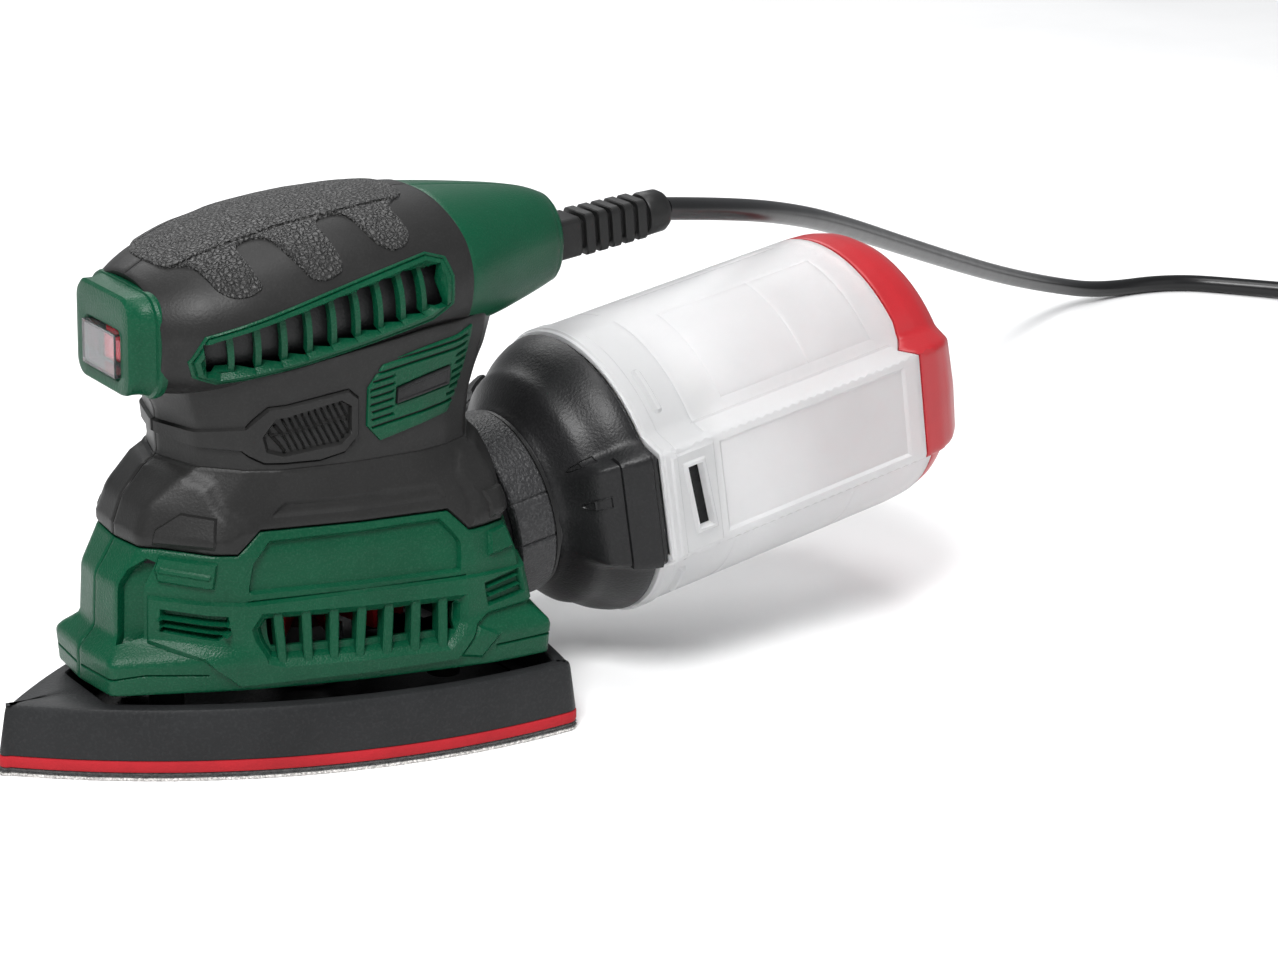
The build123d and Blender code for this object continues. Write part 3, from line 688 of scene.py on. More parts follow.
def build_skirt():
    outline = [(0, 21.5), (161, 21.5), (161, 57)] + BOUNDARY[::-1] + [(0, 58)]
    recess = [(44.6, 29.4), (49, 28.2), (94.5, 27.6), (99.6, 33.5), (101, 41.4), (46.2, 42.4), (43.2, 38.5)]
    raised = [
        ([(18.9, 34.4), (30.5, 30.6), (37.6, 23.2), (97, 24.2), (102, 32.6), (107, 34.5), (134, 36),
          (134, 45.2), (121, 45.2), (102, 46), (75, 46), (43.5, 45.2), (18.9, 46.8)], 1.3, 0.6),
        ([(11.4, 33.8), (18.2, 35.6), (18.2, 55.2), (15, 56), (11.6, 53)], -3.0, 0.5),
        ([(18.5, 53.4), (21, 50.3), (35.5, 49), (35.5, 56.2), (18, 57)], 1.2, 0.7),
        ([(20, 52.6), (34.2, 51.6), (34.4, 53.3), (20, 54.3)], 0.5, 0.5),
        ([(22.3, 43.8), (22.3, 37.8), (36, 35.6), (38.9, 38.4), (38.5, 42.2)], -2.4, 0.8),
        ([(43.6, 47.2), (100, 47.2), (102, 54.6), (97.4, 61.4), (47.6, 60.6), (44.2, 55)], -1.5, 0.7),
        (recess, -1.7, 1.5),
        (inset(recess, 1.6), -2.0, 1.2),
        ([(96.5, 25), (103.6, 23.6), (107.4, 30), (102, 33.2)], 0.9, 1.0),
        ([(111.5, 49.5), (121, 50), (121, 56), (114, 55.6)], 1.2, 0.6),
        ([(107.4, 36.8), (121, 38.2), (121, 44.8), (107.4, 43.4)], -1.6, 0.7),
    ]
    grooves = [
        ([(22.6, 39.3), (38, 37.4)], 0.75, 2.6),
        ([(22.6, 41.2), (38.2, 39.6)], 0.75, 2.6),
        ([(1, 25.8), (11.5, 26.1), (18.5, 27.2), (31, 26.6)], 0.4, -0.7),
        ([(107, 26.6), (122, 27), (141, 27), (159, 27)], 0.4, -0.7),
        ([(108.6, 39.4), (119.6, 40.6)], 0.7, 1.7),
        ([(108.6, 41.8), (119.6, 43)], 0.7, 1.7),
        ([(43.6, 45.3), (101.6, 46)], 0.4, -0.5),
    ]
    hole = [(47.6, 33.0), (96.2, 32.4), (97.6, 39.6), (47.8, 40.2)]
    patch_pair("skirt", SKIRT_NET, outline, GREEN, "housing", raised=raised, grooves=grooves,
               holes=[hole, DUCT_HOLE], grid=1.15, thick=2.4, rim=0.7, creases=True)


def build_vent_bars():
    """Straight upright bars across the skirt vent, each leaning a little."""
    count = 7
    section = ((-0.9, 0.55), (0.9, 0.55), (1.25, 0.2), (1.25, -4.2), (-1.25, -4.2), (-1.25, 0.2))
    for i in range(count):
        f = i / (count - 1)
        ends = ((48.9 + 43.6 * f, 28.2), (50.4 + 43.8 * f, 42.2))
        loops = []
        for share in (0.0, 1 / 3, 2 / 3, 1.0):
            corners = []
            for across, depth in section:
                low, high = (SKIRT_NET.raised(np.array([u + across]), np.array([v]), np.array([depth]))[0]
                             for u, v in ends)
                corners.append(low * (1 - share) + high * share)
            loops.append(corners)
        for side in (1, -1):
            bar = loft(f"vent_bar_{i + 1}_{'left' if side > 0 else 'right'}",
                       [[(p[0], side * p[1], p[2]) for p in loop] for loop in loops], GREEN, "machine")


def build_seam_lap():
    """Dark lap behind the joint between the skirt and the shoulder."""
    outline = [(0, 54.5), (138, 54.5), (138, 66), (0, 66)]
    extra_pair("black_plastic", "seam_lap", SKIRT_NET, outline, BLACK,
               grid=2.6, base=-2.7, thick=0.9, rim=0.0)


def build_shoulder():
    outline = [(0, 58.3), (18, 58.8)] + [(u, v + 0.35) for u, v in BOUNDARY[1:]] + \
        [(161, 57.4), (161, 78), (0, 78)]
    raised = [
        ([(15.4, 59.3), (34.4, 58.9), (32.5, 66.2), (21.5, 67.2), (15.2, 63)], 1.0, 0.6),
        ([(115.5, 58.4), (131, 58.4), (131, 60), (123, 65.5), (115, 65.5), (116.5, 62)], 0.9, 0.6),
        ([(-8, 59), (38, 58), (44, 63), (34, 68.5), (25, 74.5), (12, 76.8), (-8, 77)], 1.0, 2.4),
        ([(106, 57.8), (111, 64), (107, 71), (113, 76.6), (170, 77), (170, 57)], 1.0, 2.2),
        ([(46, 66), (102, 66), (101, 70), (50, 70)], -0.8, 1.2),
    ]
    patch_pair("shoulder", SKIRT_NET, outline, DARK, "shoulder", raised=raised, grid=1.3,
               base=0.45, thick=2.0, rim=0.7, creases=True)


NECK_BAND = [(-8, 84.2), (7.5, 83), (32, 82.7), (38, 79.6), (58.5, 79.4), (69.5, 80.9), (75, 85),
             (74.5, 95), (70.5, 97.3), (38.5, 94.5), (33, 89.2), (9, 87.7), (-8, 87.2)]
NECK_HEX = [(38.5, 82.7), (42.5, 81.6), (67.5, 83.2), (72, 86), (71.6, 93.2), (67, 95), (40.5, 91.8),
            (37.4, 86.8)]
PANEL = [(78, 87), (83.5, 82.5), (107.5, 86.5), (111.5, 90), (114.5, 108), (84, 103), (78, 97)]


def build_neck():
    outline = [(0, 77.6), (161, 77.6), (161, 110), (103, 110), (60, 106), (24, 102), (0, 101)]
    ribs = []
    for i in range(12):
        u = 34.6 + 2.9 * i
        line = [(u, 92.4 + 0.18 * i), (u + 8.6, 82.6 + 0.18 * i)]
        ribs.append((clip_to(line, inset(NECK_HEX, 1.1)), 0.5, 1.1))
    ribs.append(([(39.5, 87.0), (70, 90.0)], 0.35, 0.6))
    raised = [(clip_u(NECK_BAND), 0.9, 0.5), (NECK_HEX, -1.4, 0.6)]
    border = NECK_BAND[2:-2]
    patch_pair("neck", SKIRT_NET, outline, DARK, None, raised=raised,
               grooves=[r for r in ribs if r[0]] + [(border, 0.35, -0.45)], grid=1.3, base=0.0, thick=1.8,
               rim=0.4, creases=True)


def clip_to(line, outline):
    """The part of a straight line that lies inside an outline, or None."""
    (x0, y0), (x1, y1) = line
    inside = []
    for k in range(25):
        t = k / 24
        point = (x0 + (x1 - x0) * t, y0 + (y1 - y0) * t)
        if distance([point], outline, True)[1][0]:
            inside.append(point)
    return [inside[0], inside[-1]] if len(inside) > 2 else None


def build_rear_panels():
    grooves = []
    for i in range(9):
        v = 86.4 + 2.0 * i
        tilt = 0.115
        start, end = (80.2, 111.5) if i in (0, 7, 8) else (80.2, 87.5)
        grooves.append(([(start, v), (end, v + tilt * (end - start))], 0.5, -1.1))
        if 0 < i < 7:
            grooves.append(([(107.5, v + tilt * 27.3), (112, v + tilt * 31.8)], 0.5, -1.1))
    raised = [([(88.6, 91.3), (107, 93.8), (106.2, 99.8), (88.8, 96.5)], -0.5, 0.4)]
    patch_pair("rear_panel", SKIRT_NET, PANEL, GREEN, "rear_panel", raised=raised,
               grooves=grooves, grid=1.2, base=0.75, thick=2.0, rim=0.6)
    label = [(89.2, 91.9), (106.3, 94.4), (105.6, 99.2), (89.4, 95.9)]
    extra_pair("black_plastic", "label_plate", SKIRT_NET, label, BLACK,
               grid=1.2, base=1.25, thick=1.4, rim=0.25, raised=[(inset(label, 0.55), -0.35, 0.3)])


# ================================================================ handle
BORDER = [(0, 43.5), (14.5, 44.5), (26.5, 46), (39, 46.5), (49.5, 46.5), (61, 47.5), (80, 48.5)]
VENT = [(46, -32.5), (38, -29), (32.5, 0), (27, 31.5), (29.5, 37.5), (36, 39.5), (44.5, 39.5), (48.5, 33),
        (53, 2), (57.5, -25), (53, -31)]
VENT_IN = inset(VENT, 2.7)
VENT_LIP = inset(VENT, 1.2)
VENT_LIP.append(VENT_LIP[0])
PALM = [(-6, -32.5), (2, -32.5), (9, -31.5), (12.5, -26.5), (24.5, -24), (28, -21), (28.5, -17), (27, -13.5),
        (23.5, -14), (11.5, -15.5), (11.5, -7.5), (22, -4), (28, -1.5), (29.5, 2), (28, 7), (25.5, 8),
        (11, 6.5), (10.5, 15.5), (22, 18.5), (25.5, 22.5), (24.5, 27), (21, 29.5), (10.5, 28.5), (6.5, 37),
        (-6, 38.5)]


def build_handle():
    outline = [(0, -37.5), (80, -37.5)] + BORDER[::-1]
    raised = [([(36, -36.5), (66, -36.5), (64, -28), (52, -30), (40, -33)], -0.6, 2.0)]
    patch_pair("grip", HANDLE_NET, outline, DARK, "grip", holes=[inset(VENT, 0.1)], raised=raised,
               grid=1.7, base=0.0, thick=1.6, rim=0.5)
    pad_lines = [([(10.2, -29.5), (10.4, -14), (10, 14), (8.2, 34)], 0.45, -0.8)]
    patch_whole("palm_pad", HANDLE_NET, soft(PALM, 3.4), PAD, "machine", "palm_pad", grid=1.1, base=0.7,
                thick=1.0, rim=0.7, grooves=pad_lines)
    tail = [(u, v - 0.3) for u, v in BORDER] + [(80, 84), (0, 84)]
    extra_pair("green_housing", "tail", HANDLE_NET, tail, GREEN_SMOOTH,
               grid=1.7, base=-0.25, thick=2.2, rim=0.5)


def vent_slots():
    """Slots between the bars of the handle vent, as outlines on the handle surface."""
    count = 10
    slots = []
    for i in range(count):
        v = -26.0 + 59.5 * i / (count - 1)
        top, bottom = vent_span(v)
        slots.append([(top + 0.5, v - 3.4), (bottom - 0.5, v - 1.8), (bottom - 0.5, v + 3.4),
                      (top + 0.5, v + 1.8)])
    return slots


def vent_span(v):
    """Where the inner outline of the vent begins and ends at station v."""
    hits = []
    for a, b in zip(VENT_IN, VENT_IN[1:] + VENT_IN[:1]):
        if (a[1] > v) != (b[1] > v):
            hits.append(a[0] + (v - a[1]) / (b[1] - a[1]) * (b[0] - a[0]))
    return min(hits), max(hits)


def build_handle_vents():
    patch_pair("handle_vent", HANDLE_NET, VENT, GREEN, "handle_vent", grid=1.2, base=0.5,
               raised=[(VENT_IN, -1.9, 0.7)],
               grooves=[(VENT_LIP, 0.4, -0.5)], holes=vent_slots(), thick=2.2, rim=0.7)
    # Black sheet inside the handle behind the vent slots: painted shade, so the slots look dark instead of
    # showing the parts inside.
    extra_pair("black_plastic", "vent_shade", HANDLE_NET, inset(VENT, -2.5), BLACK,
               grid=2.5, base=-4.4, thick=0.8, rim=0.0)


build_skirt()
build_vent_bars()
build_seam_lap()
build_shoulder()
build_neck()
build_rear_panels()
build_handle()
build_handle_vents()


TAIL_END = 84.0
TAIL_MIDDLE = 119.6


def build_tail_cap():
    """Rounded end of the tail around the strain relief."""
    count = 48
    loops = []
    for grow, x in ((1.0, 83.0), (0.97, 84.4), (0.88, 85.6), (0.7, 86.2), (0.56, 86.2), (0.5, 84.5)):
        u = np.array([RING * RING_STEP * 2 * i / count for i in range(count)])
        near = u <= RING * RING_STEP
        ring = HANDLE_NET.at(np.where(near, u, RING * RING_STEP * 2 - u), np.full(count, TAIL_END))
        ring[~near, 1] *= -1
        centre = np.array((TAIL_END, 0.0, TAIL_MIDDLE))
        loop = centre + (ring - centre) * grow
        loop[:, 0] = x
        loops.append([tuple(p) for p in loop])
    cap = loft("tail_cap", loops, GREEN_SMOOTH, "machine", caps=(False, True))


build_tail_cap()


# ================================================================ switch bezel
def build_bezel():
    low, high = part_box("switch_cover")
    window_z = (low[2] + high[2]) / 2 / MM
    window_h = (high[2] - low[2]) / MM + 0.6
    window_w = (high[1] - low[1]) / MM + 0.6
    centre = 110.2
    # x, width, height, corner radius, how far the middle has moved to the window's
    sections = [
        (-35.2, 38.6, 26.8, 8, 0), (-36.8, 39.0, 27.2, 8, 0), (-37.5, 38.2, 26.6, 7.6, 0),
        (-37.7, 35.4, 25.8, 7, 0), (-39.2, 32.4, 25.2, 6.4, 0), (-40.8, 30.6, 25.0, 5.6, 0),
        (-42.6, 29.8, 25.0, 4.8, 0), (-43.4, 28.4, 24.0, 4.4, 0.1), (-43.7, 25.4, 21.0, 3.6, 0.5),
        (-43.4, window_w + 1.6, window_h + 1.6, 2.2, 1), (-42.4, window_w, window_h, 1.6, 1),
        (-37.0, window_w, window_h, 1.6, 1), (-36.0, 30, 22, 6, 0.4),
    ]
    loops = []
    for x, width, height, radius, share in sections:
        middle = centre * (1 - share) + window_z * share
        loops.append([(x, y, z + middle) for y, z in rounded_rect(width, height, radius)])
    bezel = loft("switch_bezel_frame", loops, GREEN, "machine", closed_path=True)
    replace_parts(bezel, "switch_bezel")


build_bezel()


# ================================================================ sanding plate, pad and sheet
def plate_outline():
    """Arcs joined: rounded tip, long sides, rounded corners and bowed rear."""
    def arc(a, b, sagitta, steps):
        a, b = np.array(a, float), np.array(b, float)
        chord = b - a
        length = np.linalg.norm(chord)
        normal = np.array((chord[1], -chord[0])) / length
        radius = (length ** 2 / 4 + sagitta ** 2) / (2 * sagitta)
        half = atan2(length / 2, radius - sagitta)
        out = []
        for i in range(steps):
            t = -half + 2 * half * i / (steps - 1)
            rise = radius * cos(t) - radius + sagitta
            out.append(a + chord * (0.5 + radius * sin(t) / length) + normal * rise)
        return out
    side = arc((-72, -1.9), (64.2, -49.9), 14.3, 44)
    corner = arc((64.2, -49.9), (68.4, -45.2), 1.5, 7)
    rear = arc((68.4, -45.2), (68.4, 45.2), 5.6, 31)
    tip = arc((-72, 1.9), (-72, -1.9), 1.9, 9)
    half_side = [np.array((p[0], -p[1])) for p in side[::-1]]
    half_corner = [np.array((p[0], -p[1])) for p in corner[::-1]]
    return np.array(side[:-1] + corner[:-1] + rear[:-1] + half_corner[:-1] + half_side[:-1] + tip[:-1])


OUTLINE = plate_outline()


def offset_outline(points, d):
    nxt, prv = np.roll(points, -1, 0), np.roll(points, 1, 0)
    t = nxt - prv
    t /= np.linalg.norm(t, axis=1)[:, None]
    return points + np.stack([t[:, 1], -t[:, 0]], 1) * d


def outline_loops(profile):
    """The plate's outline at each (outward offset, z)."""
    return [[(p[0], p[1], z) for p in offset_outline(OUTLINE, d)] for d, z in profile]


def slab(name, profile, material, replaced):
    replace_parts(loft(name, outline_loops(profile), material, "sole"), replaced)


PLATE_WALL = 5.2
RECESS_FRONT = -50.5


def build_plate():
    profile = [(-0.6, 5.4), (-0.1, 5.5), (0.0, 6.0), (-1.55, 16.4), (-1.8, 17.6), (-2.2, 18.3), (-3.0, 18.6)]
    loops = outline_loops(profile)
    inner = recess_ring(offset_outline(OUTLINE, -PLATE_WALL), RECESS_FRONT)
    for shrink, z in ((0.0, 18.6), (0.3, 18.2), (0.5, 16.0), (0.8, 9.2), (1.4, 9.0)):
        middle = inner.mean(0)
        ring = middle + (inner - middle) * (1 - shrink / 45)
        loops.append([(p[0], p[1], z) for p in ring])
    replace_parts(loft("plate_shell", loops, PLATE, "sole"), "sanding_plate")


def recess_ring(ring, front):
    """Cut the ring off straight at x = front, sharing its nose points along the cut."""
    ring = ring.copy()
    n = len(ring)
    cut = [i for i in range(n) if ring[i][0] < front or abs(ring[i][0] - front) < 0.3]
    cut.sort(key=lambda i: (i + n // 2) % n)
    edge = ring[[(cut[0] - 1) % n, (cut[-1] + 1) % n]]
    for k, i in enumerate(cut):
        f = (k + 1) / (len(cut) + 1)
        ring[i] = (front, edge[0][1] * (1 - f) + edge[1][1] * f)
    return ring


build_plate()
slab("pad_foam", [(-0.5, 2.2), (0.1, 2.4), (0.3, 3.0), (0.3, 4.7), (0.1, 5.2), (-0.5, 5.4)], FOAM,
     "foam_pad")
slab("pad_pile", [(-0.6, 1.0), (0.1, 1.1), (-0.1, 1.5), (0.2, 1.9), (-0.5, 2.2)], PILE, "hook_layer")
slab("sheet_grit", [(-0.8, 0.02), (0.1, 0.05), (0.3, 0.45), (0.1, 0.8), (-0.4, 1.0)], SHEET,
     "sanding_sheet")


def build_fuzz():
    """Loose fibres standing out of the pile and the sheet's cut edge."""
    rng = np.random.default_rng(11)
    ring = offset_outline(OUTLINE, 0.0)
    for name, z_low, z_high, material, slot, count in (
            ("pile_fibres", 0.7, 2.0, PILE, "hook_pile", 2600),
            ("sheet_fibres", 0.1, 0.9, SHEET, "abrasive", 2200)):
        verts, faces = [], []
        for i in range(count):
            k = rng.random() * len(ring)
            j = int(k) % len(ring)
            nxt = ring[(j + 1) % len(ring)]
            p = ring[j] + (nxt - ring[j]) * (k - int(k))
            t = (nxt - ring[j]) / max(1e-6, np.linalg.norm(nxt - ring[j]))
            out = np.array((t[1], -t[0]))
            z = z_low + (z_high - z_low) * rng.random()
            tip = p + out * rng.uniform(0.25, 0.75) + t * rng.normal(0, 0.5)
            rise = rng.normal(0, 0.25)
            width = 0.05
            base = len(verts)
            verts += [(*(p - t * width), z), (*(p + t * width), z), (*p, z + 2 * width),
                      (*tip, max(0.05, z + rise))]
            faces += [(base, base + 1, base + 3), (base + 1, base + 2, base + 3), (base + 2, base, base + 3),
                      (base, base + 2, base + 1)]
        piece = make_object(name, np.array(verts) * MM, faces, material, "sole")


build_fuzz()


# ================================================================ dust collar, adapter and box
DUST_TILT = radians(10.2)
DUST_ORIGIN = np.array((75.1, 0.0, 47.9))
DUST_AXIS = np.array((cos(DUST_TILT), 0.0, sin(DUST_TILT)))
DUST_UP = np.array((-sin(DUST_TILT), 0.0, cos(DUST_TILT)))


def dust_point(t, across, up):
    return tuple(DUST_ORIGIN + DUST_AXIS * t + np.array((0, -1.0, 0)) * across + DUST_UP * up)


def ring_loops(profile, marks=()):
    """Round rings along the dust axis, with a fine notch at each marked angle."""
    count = 240
    loops = []
    for t, radius in profile:
        loop = []
        for k in range(count):
            a = 360.0 * k / count
            near = min([abs((a - m + 180) % 360 - 180) for m in marks], default=90)
            r = radius - (0.5 if near < 0.8 else 0)
            loop.append(dust_point(t, r * cos(radians(a)), r * sin(radians(a))))
        loops.append(loop)
    return loops


def build_collar():
    profile = [(-11.4, 22.6), (-11.4, 25.5), (-11.0, 26.0), (-8, 26.1), (-0.6, 26.1), (0, 25.6), (0, 22.6)]
    marks = (22, -4, 158, 184)
    collar = loft("collar_ring", ring_loops(profile, marks), BLACK_ROUGH, "machine", closed_path=True)
    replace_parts(collar, "dust_collar")


# columns of the dust net: angle from the top, or the corner of a flat side panel
ARC_STEP = 5
PANEL_TOP, PANEL_LOW = 17.8, -14.0
PANEL_HALF = 43.3


def dust_columns():
    upper = [("arc", a) for a in range(0, 61, ARC_STEP)]
    panel = [("flat", PANEL_TOP), ("flat", 2.0), ("flat", PANEL_LOW)]
    lower = [("arc", a) for a in range(115, 181, ARC_STEP)]
    return upper + panel + lower


def dust_place(column, radius, share):
    """Across and up of a column; share is how far the side panel stands out of the round."""
    kind, value = column
    if kind == "arc":
        return radius * sin(radians(value)), radius * cos(radians(value))
    scale = radius / 40.8
    angle = atan2(PANEL_HALF, value)
    flat = (PANEL_HALF + (radius - 40.8), value * (0.4 + 0.6 * scale))
    on_round = (radius * sin(angle), radius * cos(angle))
    return tuple(o * (1 - share) + f * share for o, f in zip(on_round, flat))


# distance along the dust axis, radius, how far the side panels stand out
DUST_STATIONS = [
    (1.5, 25.0, 0), (3.2, 26.0, 0), (4.6, 27.6, 0), (8.0, 31.8, 0.55), (9.6, 33.4, 0.85), (11.5, 34.0, 0.95),
    (13.0, 34.8, 1), (17.5, 38.0, 1), (21.0, 39.6, 1), (23.6, 40.2, 1), (24.4, 40.8, 1), (113.5, 40.8, 1),
    (120, 40.4, 0.95), (125, 39.0, 0.8), (129.5, 36.0, 0.6), (132.7, 31.5, 0.4), (135.0, 25.5, 0.2),
    (136.3, 18.0, 0), (137.0, 8.0, 0), (137.2, 0.4, 0),
]


def dust_net():
    columns = dust_columns()
    places = [dust_place(c, 40.8, 1) for c in columns]
    u = [0.0]
    for a, b in zip(places, places[1:]):
        u.append(u[-1] + sqrt((a[0] - b[0]) ** 2 + (a[1] - b[1]) ** 2))
    rows = []
    for t, radius, share in DUST_STATIONS:
        half = [dust_place(c, radius, share) for c in columns]
        ring = [(-half[1][0], half[1][1])] + half + [(-half[-2][0], half[-2][1])]
        rows.append([dust_point(t, x, y) for x, y in ring])
    ends = [-u[1]] + u + [2 * u[-1] - u[-2]]
    return Net(rows, ends, [t for t, radius, share in DUST_STATIONS], 0.9, 0.8)


DUST_NET = dust_net()
DUST_END = DUST_NET.end


def padlock(u, v, size, gap):
    """Generic padlock outline as raised lines: body, then a shackle lifted by gap."""
    body = [(u, v), (u, v + size), (u + size, v + size), (u + size, v), (u, v)]
    bow = []
    for k in range(7):
        a = pi * k / 6
        bow.append((u + size / 2 + 0.38 * size * cos(a), v - gap - 0.55 * size * sin(a)))
    bow.append((u + 0.12 * size, v))
    return [body, bow]


def build_adapter():
    outline = [(-8, 1.5), (DUST_END + 8, 1.5), (DUST_END + 8, 23.4), (-8, 23.4)]
    icons = [(line, 0.22, 0.35) for line in padlock(42, 8.5, 3.4, 0.9) + padlock(60, 8.5, 3.4, 0.1)]
    raised = [([(46.5, 14.5), (84, 14.5), (84, 22.4), (47.5, 22.4)], 0.8, 0.5)]
    patch_whole("adapter_shell", DUST_NET, outline, BLACK, "adapter", "dust_adapter", grid=1.5,
                thick=2.2, rim=0.5, grooves=icons, raised=raised)
    rim_outline = [(-8, 22.6), (DUST_END + 8, 22.6), (DUST_END + 8, 42), (-8, 42)]
    rim = patch_whole("adapter_rim", DUST_NET, rim_outline, BLACK, "adapter", None, grid=2.4, base=-2.9,
                      thick=1.8, rim=0.4)
    profile = [(-10.5, 19.6), (-10.5, 21.5), (-10.1, 21.9), (1.5, 21.9), (1.5, 24.9), (3.8, 25.4),
               (3.8, 19.6)]
    spigot = loft("adapter_spigot", ring_loops(profile), BLACK, "adapter", closed_path=True)


SPLIT = [(38, 113.5), (43, 112.4), (46.8, 109.2), (51.6, 113.5), (85, 113.5), (90, 121)]


def build_box():
    outline = [(-8, 24.3), (DUST_END + 8, 24.3), (DUST_END + 8, 121)] + SPLIT[::-1] + [(-8, 113.5)]
    slot = [(57, 32.0), (57, 36.8), (76, 38.6), (76, 33.8)]
    frame = inset(slot, -1.3)
    raised = [
        ([(-8, 25.2), (DUST_END + 8, 25.2), (DUST_END + 8, 29.4), (-8, 29.4)], 0.45, 0.5),
        ([(53.5, 43.5), (80.5, 43.5), (80.5, 108), (53.5, 108)], -0.7, 0.9),
        ([(52.6, 27), (82, 27), (82, 41.6), (52.6, 41.6)], 0.5, 0.6),
        (soft([(24, 31.0), (38, 31.0), (38, 33.8), (24, 33.8)], 1.3), 1.1, 0.8),
        (soft([(94, 31.0), (106, 31.0), (106, 33.8), (94, 33.8)], 1.3), 1.1, 0.8),
        (frame, 0.6, 0.5),
    ]
    ribs = ([(44, 40), (44, 108)], [(87.8, 42), (87.8, 112)])
    fine = ([(8, 52), (40, 52)], [(8, 82), (40, 82)], [(8, 104), (40, 104)], [(8, 52), (8, 104)],
            [(40, 52), (40, 104)], [(92, 50), (120, 50)], [(92, 92), (120, 92)])
    grooves = [(line, 0.45, 0.4) for line in ribs] + [(line, 0.3, -0.12) for line in fine]
    grooves.append(([(4, 40.5), (48, 40.5)], 0.35, -0.18))
    patch_whole("box_shell", DUST_NET, outline, FROST, "collector", "dust_box", grid=1.7, thick=2.0, rim=0.6,
                raised=raised, grooves=grooves, holes=[slot])


def build_cap():
    split = [(u, v + 0.35) for u, v in SPLIT]
    outline = [(-8, 113.85)] + split + [(DUST_END + 8, 121.35), (DUST_END + 8, 137.2), (-8, 137.2)]
    patch_whole("cap_shell", DUST_NET, outline, RED, "collector", "dust_cap", grid=1.6, thick=2.2, rim=0.5)
    skirt_outline = [(-8, 110.6), (DUST_END + 8, 110.6), (DUST_END + 8, 118), (-8, 118)]
    skirt = patch_whole("cap_skirt", DUST_NET, skirt_outline, RED, "collector", None, grid=2.6, base=-2.3,
                        thick=1.4, rim=0.3)
    gate = loft("cap_gate", ring_loops([(136.9, 2.2), (137.3, 2.2), (137.5, 1.8), (137.5, 0.8)]), RED,
                "collector")


build_collar()
build_adapter()
build_box()
build_cap()


# ================================================================ strain relief, cord, plug
RELIEF_START = np.array((82.0, 0.0, 119.3))
CORD_EXIT = np.array((125.0, 0.0, 123.9))


def along(start, axis, t, side, section):
    """A section's (across, up) points, set at t along an axis."""
    rise = np.cross(axis, side)
    return [tuple(start + axis * t + side * across + rise * up) for across, up in section]


def build_relief():
    axis = CORD_EXIT - RELIEF_START
    length = np.linalg.norm(axis)
    axis /= length
    side = np.array((0, 1.0, 0))
    loops = []

    def ring(t, size, radius):
        loops.append(along(RELIEF_START, axis, t, side, rounded_rect(size, size, radius, 40)))
    for t, size, radius in ((0, 10.8, 1.5), (3, 11.2, 1.5), (12.6, 11.0, 1.5), (13.0, 10.6, 1.6)):
        ring(t, size, radius)
    for i in range(5):
        t = 13.1 + 4.3 * i
        size = 11.6 - 0.15 * i
        ring(t, 8.8, 2.2)
        ring(t + 1.3, 8.7, 2.2)
        ring(t + 1.35, size - 0.5, 1.8)
        ring(t + 1.65, size, 1.8)
        ring(t + 3.9, size, 1.8)
        ring(t + 4.2, size - 0.5, 1.8)
    for t, size, radius in ((34.8, 9.0, 3.2), (35.6, 9.0, 3.4), (35.7, 11.2, 5.2), (36.4, 12.0, 5.7),
                            (41.4, 11.6, 5.5), (42.8, 10.0, 4.9), (length, 7.4, 3.6)):
        ring(t, size, radius)
    relief = loft("relief_sleeve", loops, RUBBER, "machine")
    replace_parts(relief, "strain_relief")
    return relief


CORD_R = 3.25
ROUTE = [
    (125, 0, 123.9), (159, 12, 117.7), (204, 38, 105), (248, 68, 89.4), (298, 102, 70.5), (353, 138, 50),
    (408, 172, 30), (460, 200, 13), (497, 210.5, CORD_R + 0.1), (535, 208, CORD_R + 0.1),
    (556, 186, CORD_R + 0.3),
]
COIL_BASE = 1.2
PITCH = 2 * CORD_R + 0.2
COIL_MID_R = 36.0
COIL_OUTER_R = COIL_MID_R + PITCH
HEADING = radians(-52.0)
ENTRY = np.array((590.5, 140.5, COIL_BASE + CORD_R))
COIL_CENTRE = ENTRY + np.array((-sin(HEADING), cos(HEADING), 0)) * COIL_OUTER_R
COIL_TOP = COIL_BASE + 2 * CORD_R + PITCH
EXIT_ANGLE = radians(232.0)
PLUG_Z = 7.5
TURNS = 6                  # three inwards on the table, then three outwards on top of them
POINTS_PER_TURN = 16
RAMP_TURNS = 2.8           # turns taken to move across the two inner pitches
LIFT_TURNS = 0.35          # turns taken to climb to the upper layer
LEAD_IN = 14               # straight lead on each side of the coil
TAIL_LENGTH = 34           # from the coil to the plug


def coil_points():
    """The coil's turns, worked out round by round."""
    points = []
    start = atan2(ENTRY[1] - COIL_CENTRE[1], ENTRY[0] - COIL_CENTRE[0])
    total = TURNS * POINTS_PER_TURN
    sweep = TURNS * 2 * pi + (EXIT_ANGLE - (start % (2 * pi)))
    for i in range(total + 1):
        f = i / total
        a = start + sweep * f
        turn = TURNS * f
        if turn < TURNS / 2:
            r = COIL_OUTER_R - 2 * PITCH * min(1.0, turn / RAMP_TURNS)
            z = COIL_BASE + CORD_R
        else:
            r = COIL_OUTER_R - 2 * PITCH * max(0.0, 1 - (turn - TURNS / 2) / RAMP_TURNS)
            z = COIL_BASE + CORD_R + PITCH * min(1.0, (turn - TURNS / 2) / LIFT_TURNS)
        r = r / cos(sweep / total / 2)
        points.append((COIL_CENTRE[0] + r * cos(a), COIL_CENTRE[1] + r * sin(a), z))
    return points


